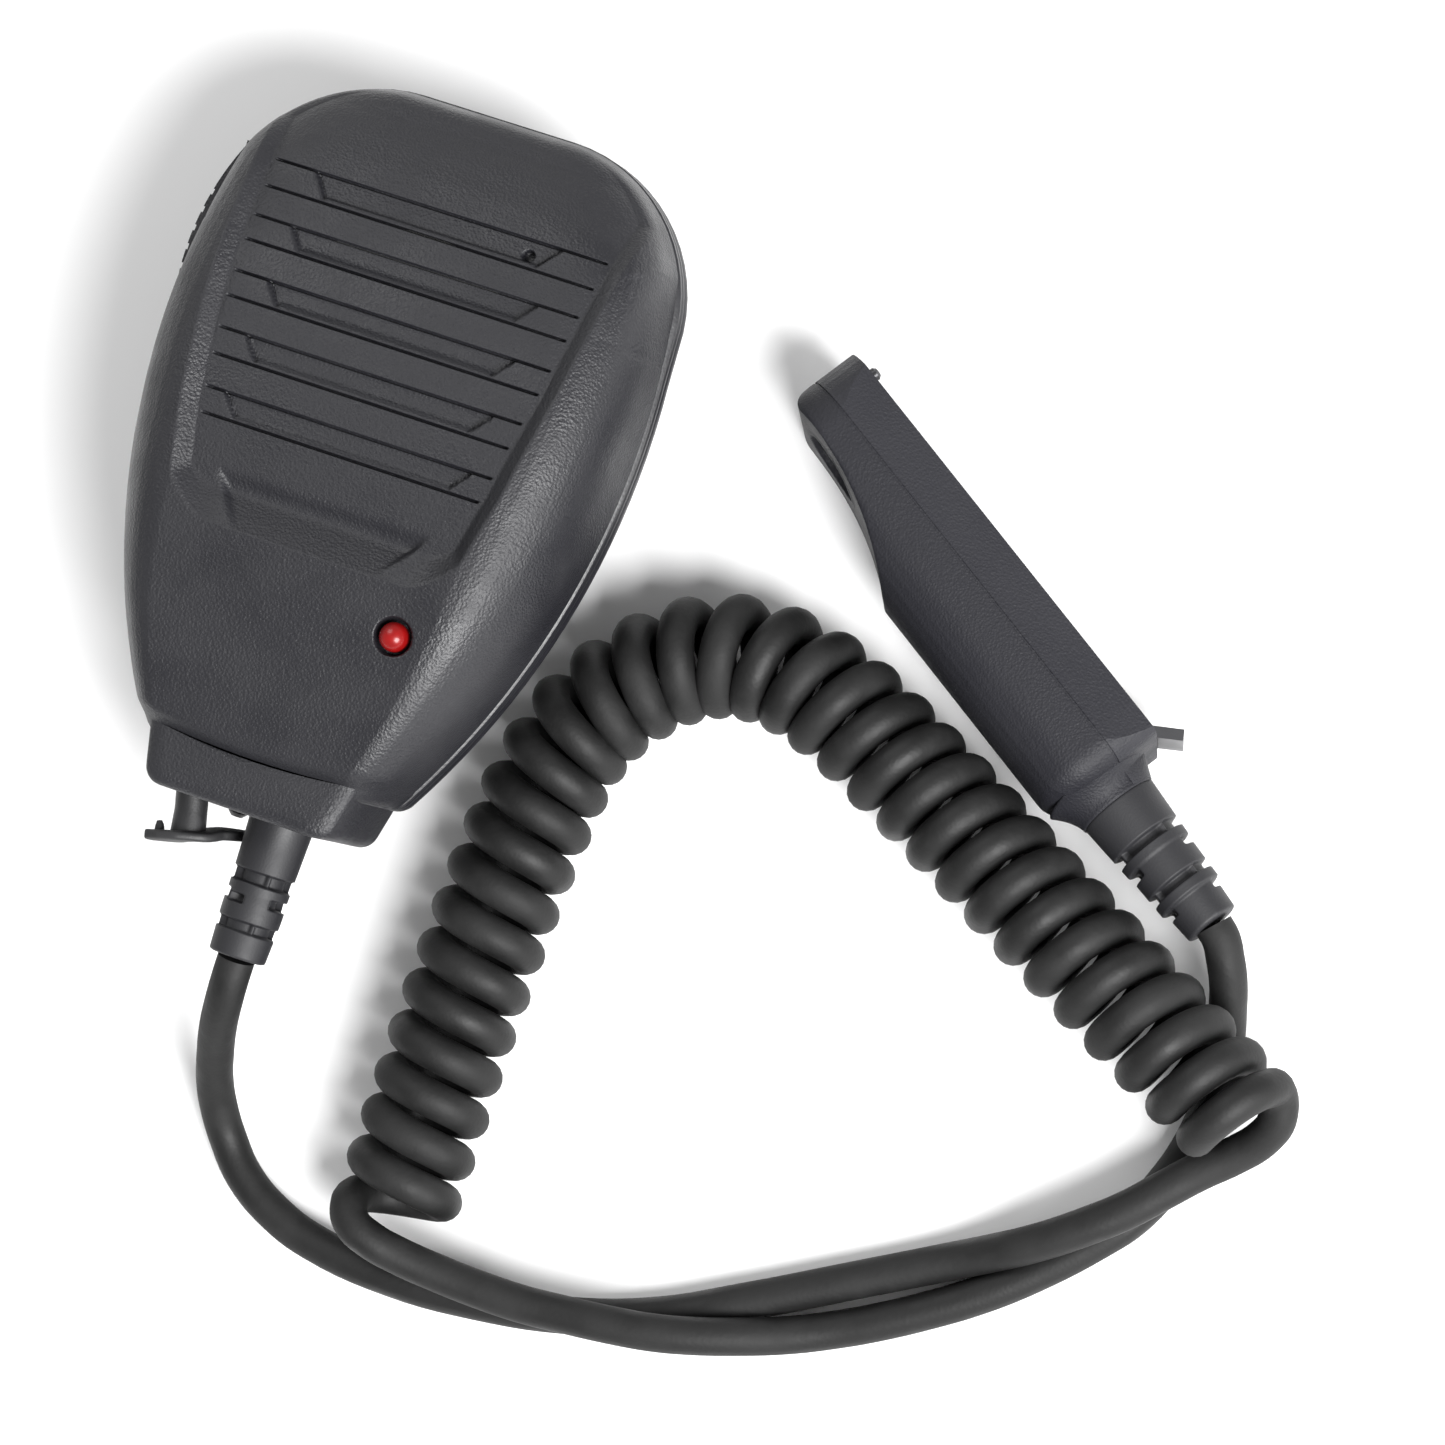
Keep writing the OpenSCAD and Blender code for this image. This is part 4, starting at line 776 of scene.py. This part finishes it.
def relief(name, start, ahead, up, length, radii, bands, notches, node_name):
    """A sleeve along ahead. bands are (from, to, depth) grooves with four bars across them;
    notches are (middle, length, turn, spread, depth) cuts into its side."""
    side = ahead.cross(up).normalized()
    up = side.cross(ahead).normalized()
    s_values = np.linspace(0, length, int(length / 0.12))
    angles = np.linspace(0, 2 * math.pi, RELIEF_SIDES, endpoint=False)
    rows = []
    for s in s_values:
        r = np.full(RELIEF_SIDES, np.interp(s, radii[0], radii[1]))
        end = min(s, length - s)
        r = r - 0.35 * (1 - math.sqrt(1 - (1 - min(end / 0.35, 1)) ** 2))
        for low, high, depth in bands:
            within = min((s - low) / 0.14, (high - s) / 0.14, 1)
            bars = smooth_step((np.abs(np.cos(2 * angles + 0.5)) - 0.08) / 0.1)
            r = r - depth * max(within, 0) * (0.25 + 0.75 * bars)
        for middle, long, turn, spread, depth in notches:
            along = np.clip((long / 2 - abs(s - middle)) / 0.14, 0, 1)
            off = np.abs((angles - turn + math.pi) % (2 * math.pi) - math.pi)
            r = r - depth * along * np.clip((spread - off) / 0.12, 0, 1)
        ring = [start + ahead * float(s) + side * float(q * math.cos(a)) + up * float(q * math.sin(a))
                for q, a in zip(r, angles)]
        rows.append([tuple(p) for p in ring])
    obj = skin(rows, name, RELIEF, closed=True, caps=True)
    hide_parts(node_name)
    return obj


relief_mic = relief(
    "relief_mic", Vector((2.6, -41.5, 20)), Vector((0, -1, 0)), Vector((0, 0, 1)), 16,
    ([0, 6.1, 8.7, 9.6, 10.9, 16], [3.7, 3.5, 3.45, 3.5, 3.5, 3.25]),
    [(6.1, 7.6, 0.95), (11.8, 13.1, 0.85)],
    [(9.2, 1.2, 0.0, 0.75, 1.2), (9.2, 1.2, math.pi, 0.75, 1.2), (9.5, 1.1, 1.15, 0.32, 1.2)],
    "strain_relief_mic",
)

# ---- Connector: its own axes are x to the mating face, y to the free end, z across ----
PLUG_ROLL = math.radians(12)
PLUG_TURN = math.radians(57.3)
PLUG_HALF = 9.2
PLUG_SPLIT = 0.15
PLUG_LIFT = PLUG_HALF * math.cos(PLUG_ROLL) + PLUG_SPLIT * math.sin(PLUG_ROLL) + 0.06
PLUG_PLACE = (68.7, 5.9)
PLUG_AXES = (Matrix.Translation((*PLUG_PLACE, PLUG_LIFT))
             @ Matrix.Rotation(PLUG_TURN, 4, "Z") @ Matrix.Rotation(PLUG_ROLL, 4, "Y"))
PLUG_Y = (-23.8, 31.5)
PLUG_CORD_X = -2.15
SCREW_Y = 23.4
SCREW_HOLE_R = 4.1
END_R = 6.5
FOOT_CORNER = 3.0
END_ROUND = 2.9
FOOT_ROUND = 3.0
# The cover's depth at each inset from its side
COVER_IN = [0, 0.1, 0.4, 0.8, 1.6, 2.6, 4.0, 5.3, 6.7, 8.0, 9.2]
COVER_DEPTH = [0.15, 2.4, 4.2, 5.3, 6.5, 7.5, 8.25, 8.66, 8.9, 8.98, 9.0]
# The long scoop in the cover's back, an arc
SCOOP_R = 39
SCOOP_X = 3.5
SCOOP_Y = 27


def plug_half(y):
    """Half of the connector's width at a length along it."""
    top = PLUG_Y[1] - END_R
    low = PLUG_Y[0] + FOOT_CORNER
    if y > top:
        return PLUG_HALF - END_R + math.sqrt(max(END_R**2 - (y - top) ** 2, 0))
    if y < low:
        return PLUG_HALF - FOOT_CORNER + math.sqrt(max(FOOT_CORNER**2 - (low - y) ** 2, 0))
    return PLUG_HALF


def cover_depth(w, y):
    """Depth of the cover's back: rounded section, long scoop, screw recess and rounded ends."""
    half = plug_half(y)
    depth = np.interp((half - np.abs(w)) * PLUG_HALF / max(half, 1), COVER_IN, COVER_DEPTH)
    if y > 0:
        scoop = SCOOP_X + SCOOP_R - math.sqrt(max(SCOOP_R**2 - (y - SCOOP_Y) ** 2, 0))
        depth = np.minimum(depth, scoop)
    near = min(PLUG_Y[1] - y, END_ROUND) / END_ROUND
    depth = depth * math.sqrt(1 - (1 - near) ** 2) if near < 1 else depth
    foot = min(y - PLUG_Y[0], FOOT_ROUND) / FOOT_ROUND
    depth = depth * (0.62 + 0.38 * math.sqrt(1 - (1 - foot) ** 2))
    from_screw = np.hypot(w, y - SCREW_Y)
    rim = SCREW_HOLE_R + 0.5
    raised = 0.14 * np.clip(1 - np.abs(from_screw - rim) / 0.45, 0, 1)
    hole = 1 - smooth_step((from_screw - SCREW_HOLE_R + 0.1) / 0.22)
    depth = (depth + raised * (y < PLUG_Y[1] - 2)) * (1 - hole) + 0.4 * hole
    return np.maximum(depth, PLUG_SPLIT)


def make_cover():
    """The connector's back cover, with a wall at its foot and a hole for the screw."""
    y_values = [PLUG_Y[0] + e for e in (0.0, 0.05, 0.15, 0.3, 0.5, 0.75, 1.0)]
    y_values += list(np.arange(PLUG_Y[0] + 1.3, 17.5, 0.5))
    y_values += list(np.arange(17.6, PLUG_Y[1] - END_ROUND, 0.16))
    y_values += [PLUG_Y[1] - e for e in (2.75, 2.4, 2.1, 1.8, 1.5, 1.2, 0.95, 0.7, 0.5, 0.3, 0.15, 0.05, 0)]
    near_edge = [0, 0.002, 0.006, 0.012, 0.02, 0.03, 0.043, 0.06, 0.085]
    share = np.concatenate([near_edge, np.linspace(0.11, 1, 44)])
    share = 1 - share[::-1]
    share = np.concatenate([-share[:0:-1], share])
    rows = []
    for y in y_values:
        w = share * plug_half(y)
        depth = cover_depth(w, y)
        depth[0] = depth[-1] = PLUG_SPLIT
        if y == y_values[-1]:
            depth = np.minimum(depth, PLUG_SPLIT)
        rows.append([tuple(PLUG_AXES @ Vector((-d, y, v))) for d, v in zip(depth, w)])
    foot_w = share * plug_half(y_values[0])
    wall = [[tuple(PLUG_AXES @ Vector((-PLUG_SPLIT, y_values[0], v))) for v in foot_w]]
    to_plug = PLUG_AXES.inverted()

    def keep(p):
        spot = to_plug @ Vector(p)
        return math.hypot(spot.y - SCREW_Y, spot.z) > SCREW_HOLE_R - 0.1

    obj = skin(wall + rows, "plug_back", PLUG, keep=keep)
    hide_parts("plug_cover")
    return obj


def make_seam():
    """A narrow band behind the parting line, so the groove between cover and base is shallow."""
    right = []
    for y in np.concatenate([np.linspace(PLUG_Y[0], PLUG_Y[0] + FOOT_CORNER, 12), np.linspace(-18, 24, 30),
                             PLUG_Y[1] - END_R + END_R * np.sin(np.linspace(0.05, math.pi / 2, 16))]):
        right.append((float(y), plug_half(float(y))))
    loop = right + [(y, -w) for y, w in right[::-1]]
    rows = []
    for depth, sink in ((-0.6, 0.5), (-0.16, 0.14), (0.16, 0.14), (0.6, 0.5)):
        rows.append([tuple(PLUG_AXES @ Vector((depth, y * (1 - sink / 30), w * (1 - sink / PLUG_HALF))))
                     for y, w in loop])
    return skin(rows, "plug_seam", PLUG, closed=True)


def make_collar():
    """The tapered root between the connector's end and its strain relief."""
    rows = []
    for t in np.linspace(0, 1, 14):
        y = PLUG_Y[0] + 0.9 - 3.6 * t
        wide = 4.75 + 3.3 * (1 - t) ** 2.2
        deep_back = 4.75 + 2.0 * (1 - t) ** 1.6
        deep_front = 4.6 + 2.1 * (1 - t) ** 2.2
        ring = []
        for a in np.linspace(0, 2 * math.pi, 72, endpoint=False):
            depth = deep_front if math.cos(a) > 0 else deep_back
            ring.append(tuple(PLUG_AXES @ Vector((PLUG_CORD_X + depth * math.cos(a), y, wide * math.sin(a)))))
        rows.append(ring)
    return skin(rows, "plug_collar", PLUG, closed=True, caps=True)


cover = make_cover()
collar = make_collar()
seam = make_seam()
plug_ahead = (PLUG_AXES.to_3x3() @ Vector((0, -1, 0))).normalized()
plug_up = (PLUG_AXES.to_3x3() @ Vector((0, 0, 1))).normalized()
relief_plug = relief(
    "relief_plug", PLUG_AXES @ Vector((PLUG_CORD_X, -26.35, 0)), plug_ahead, plug_up, 16.9,
    ([0, 7.2, 7.5, 12.9, 13.2, 16.9], [4.6, 4.15, 4.0, 3.85, 3.4, 3.15]),
    [(4.9, 6.2, 0.9), (10.6, 11.8, 0.8)],
    [(7.9, 1.1, 0.0, 0.75, 1.1), (7.9, 1.1, math.pi, 0.75, 1.1),
     (13.6, 1.0, 0.0, 0.7, 0.9), (13.6, 1.0, math.pi, 0.7, 0.9)],
    "strain_relief_plug",
)


# ---- Earphone cap: a plug on a curved strap ----
def ribbon(name, path, widths, thick, finish, body):
    """A flat strap with rounded edges swept along path; its width runs across the path and Y."""
    line = spline(path, 8)
    wide = np.interp(np.linspace(0, 1, len(line)), np.linspace(0, 1, len(widths)), widths)
    ahead = np.gradient(line, axis=0)
    rows = []
    for p, t, w in zip(line, ahead, wide):
        t = t / np.linalg.norm(t)
        across = np.cross(t, (0, 1, 0))
        across = across / np.linalg.norm(across)
        out = np.cross(across, t)
        ring = []
        for a in np.linspace(0, 2 * math.pi, 28, endpoint=False):
            u = math.copysign(abs(math.cos(a)) ** 0.45, math.cos(a)) * w / 2
            v = math.copysign(abs(math.sin(a)) ** 0.45, math.sin(a)) * thick / 2
            ring.append(tuple(p + across * u + out * v))
        rows.append(ring)
    return skin(rows, name, finish, body, closed=True, caps=True)


def tube(name, path, radii, finish, body):
    """A round bar along path with a radius at each of its points."""
    line = spline(path, 6)
    size = np.interp(np.linspace(0, 1, len(line)), np.linspace(0, 1, len(radii)), radii)
    ahead = np.gradient(line, axis=0)
    rows = []
    for p, t, r in zip(line, ahead, size):
        t = t / np.linalg.norm(t)
        across = np.cross(t, (0, 0, 1))
        across = across / np.linalg.norm(across)
        out = np.cross(across, t)
        rows.append([tuple(p + r * (math.cos(a) * across + math.sin(a) * out))
                     for a in np.linspace(0, 2 * math.pi, 40, endpoint=False)])
    return skin(rows, name, finish, body, closed=True, caps=True)


def make_cap():
    """The cap's plug, strap and nub, and the knob on the housing that holds the strap."""
    tube("anchor_knob", [(-4.3, -41.2, 15), (-4.3, -42.4, 15), (-4.3, -42.9, 15)], [1.2, 1.1, 0.6],
         SHELL_SMOOTH, "housing")
    stem = tube("cap_stem", [(-8.3, -40.6, 21), (-8.1, -41.8, 21), (-7.65, -43.6, 21), (-7.1, -46.4, 21)],
                [1.85, 1.85, 1.85, 2], SOFT, "cap")
    strap_path = [(-11.2, -47.7, 21), (-9.6, -47.3, 21), (-7.6, -46.7, 21), (-5.6, -46, 20.6),
                  (-4.2, -45.2, 19.6), (-2.6, -44.7, 17.8), (-0.8, -44.3, 16.2), (0.9, -43.4, 14.8)]
    ribbon("cap_strap", strap_path, [4.6, 6.4, 6.6, 5.6, 3.4, 3, 3, 2.8], 1.2, SOFT, "cap")
    tube("cap_nub", [(-9.9, -47, 22.4), (-10.1, -46.3, 22.4), (-10.3, -45.8, 22.4)], [0.6, 0.5, 0.3],
         SOFT, "cap")
    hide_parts("jack_cap")


make_cap()

# ---- CAD nodes that stay: finish by their slot, and softened edges ----
EDGE_WIDTH = {
    "ptt_key": 0.5, "plug_base": 0.8, "clip_arm": 0.5, "clip_plate": 0.3, "clip_screw": 0.25,
    "thumbscrew": 0.3, "plug_hook": 0.25, "locating_pin": 0.12, "contact_block": 0.2, "cover_screws": 0.15,
    "earphone_jack": 0.2, "ptt_switch": 0.2, "circuit_board": 0.12, "clip_pin": 0.15, "plug_seal": 0.15,
}


def dress_cad_nodes():
    """Gives each CAD node its slot's finish, and softens the edges of those in EDGE_WIDTH."""
    slots = {part["node"]: part["material_slot"] for part in frame["record"]["subparts"]}
    for name, obj in frame["nodes"].items():
        finish = FINISH[slots[name]]
        if not obj.material_slots:
            obj.data.materials.append(finish)
        for own_slot in obj.material_slots:
            own_slot.link = "OBJECT"
            own_slot.material = finish
        if name in EDGE_WIDTH:
            soften(obj, EDGE_WIDTH[name])


dress_cad_nodes()


# ---- Floor and light ----
def make_floor():
    """A wide pale floor just under the object."""
    mesh = bpy.data.meshes.new("floor")
    edge = 3.0
    below = -1e-4
    corners = [(-edge, -edge, below), (edge, -edge, below), (edge, edge, below), (-edge, edge, below)]
    mesh.from_pydata(corners, [], [(0, 1, 2, 3)])
    floor = bpy.data.objects.new("floor", mesh)
    bpy.context.scene.collection.objects.link(floor)
    m, tree, bsdf = new_material("floor")
    coords = node(tree, "ShaderNodeTexCoord").outputs["Object"]
    noise = node(tree, "ShaderNodeTexNoise", Scale=400.0, Detail=3.0)
    tree.links.new(coords, noise.inputs["Vector"])
    bump = node(tree, "ShaderNodeBump", Strength=0.2, Distance=0.02 * MM)
    tree.links.new(noise.outputs["Fac"], bump.inputs["Height"])
    tree.links.new(bump.outputs["Normal"], bsdf.inputs["Normal"])
    bsdf.inputs["Base Color"].default_value = (0.9, 0.9, 0.9, 1)
    bsdf.inputs["Roughness"].default_value = 0.8
    mesh.materials.append(m)


def area_light(name, place, target, size, power):
    """A round area light at place, turned to target."""
    data = bpy.data.lights.new(name, "AREA")
    data.shape = "DISK"
    data.size = size
    data.energy = power
    light = bpy.data.objects.new(name, data)
    bpy.context.scene.collection.objects.link(light)
    light.location = place
    light.rotation_euler = (Vector(place) - Vector(target)).to_track_quat("Z", "Y").to_euler()


def make_light():
    """A white sky, a strong light from the right and a weak one from the upper left."""
    world = bpy.data.worlds.new("studio")
    bpy.context.scene.world = world
    world.use_nodes = True
    world.node_tree.nodes["Background"].inputs["Color"].default_value = (1, 1, 1, 1)
    world.node_tree.nodes["Background"].inputs["Strength"].default_value = 0.48
    middle = at(*CAMERA_TARGET)
    area_light("key", tuple(middle + Vector((0.76, -0.3, 0.82))), middle, 0.7, 33)
    area_light("fill", tuple(middle + Vector((-0.6, 0.6, 0.9))), middle, 0.7, 5)
    bpy.context.scene.view_settings.view_transform = "Standard"


make_floor()
make_light()
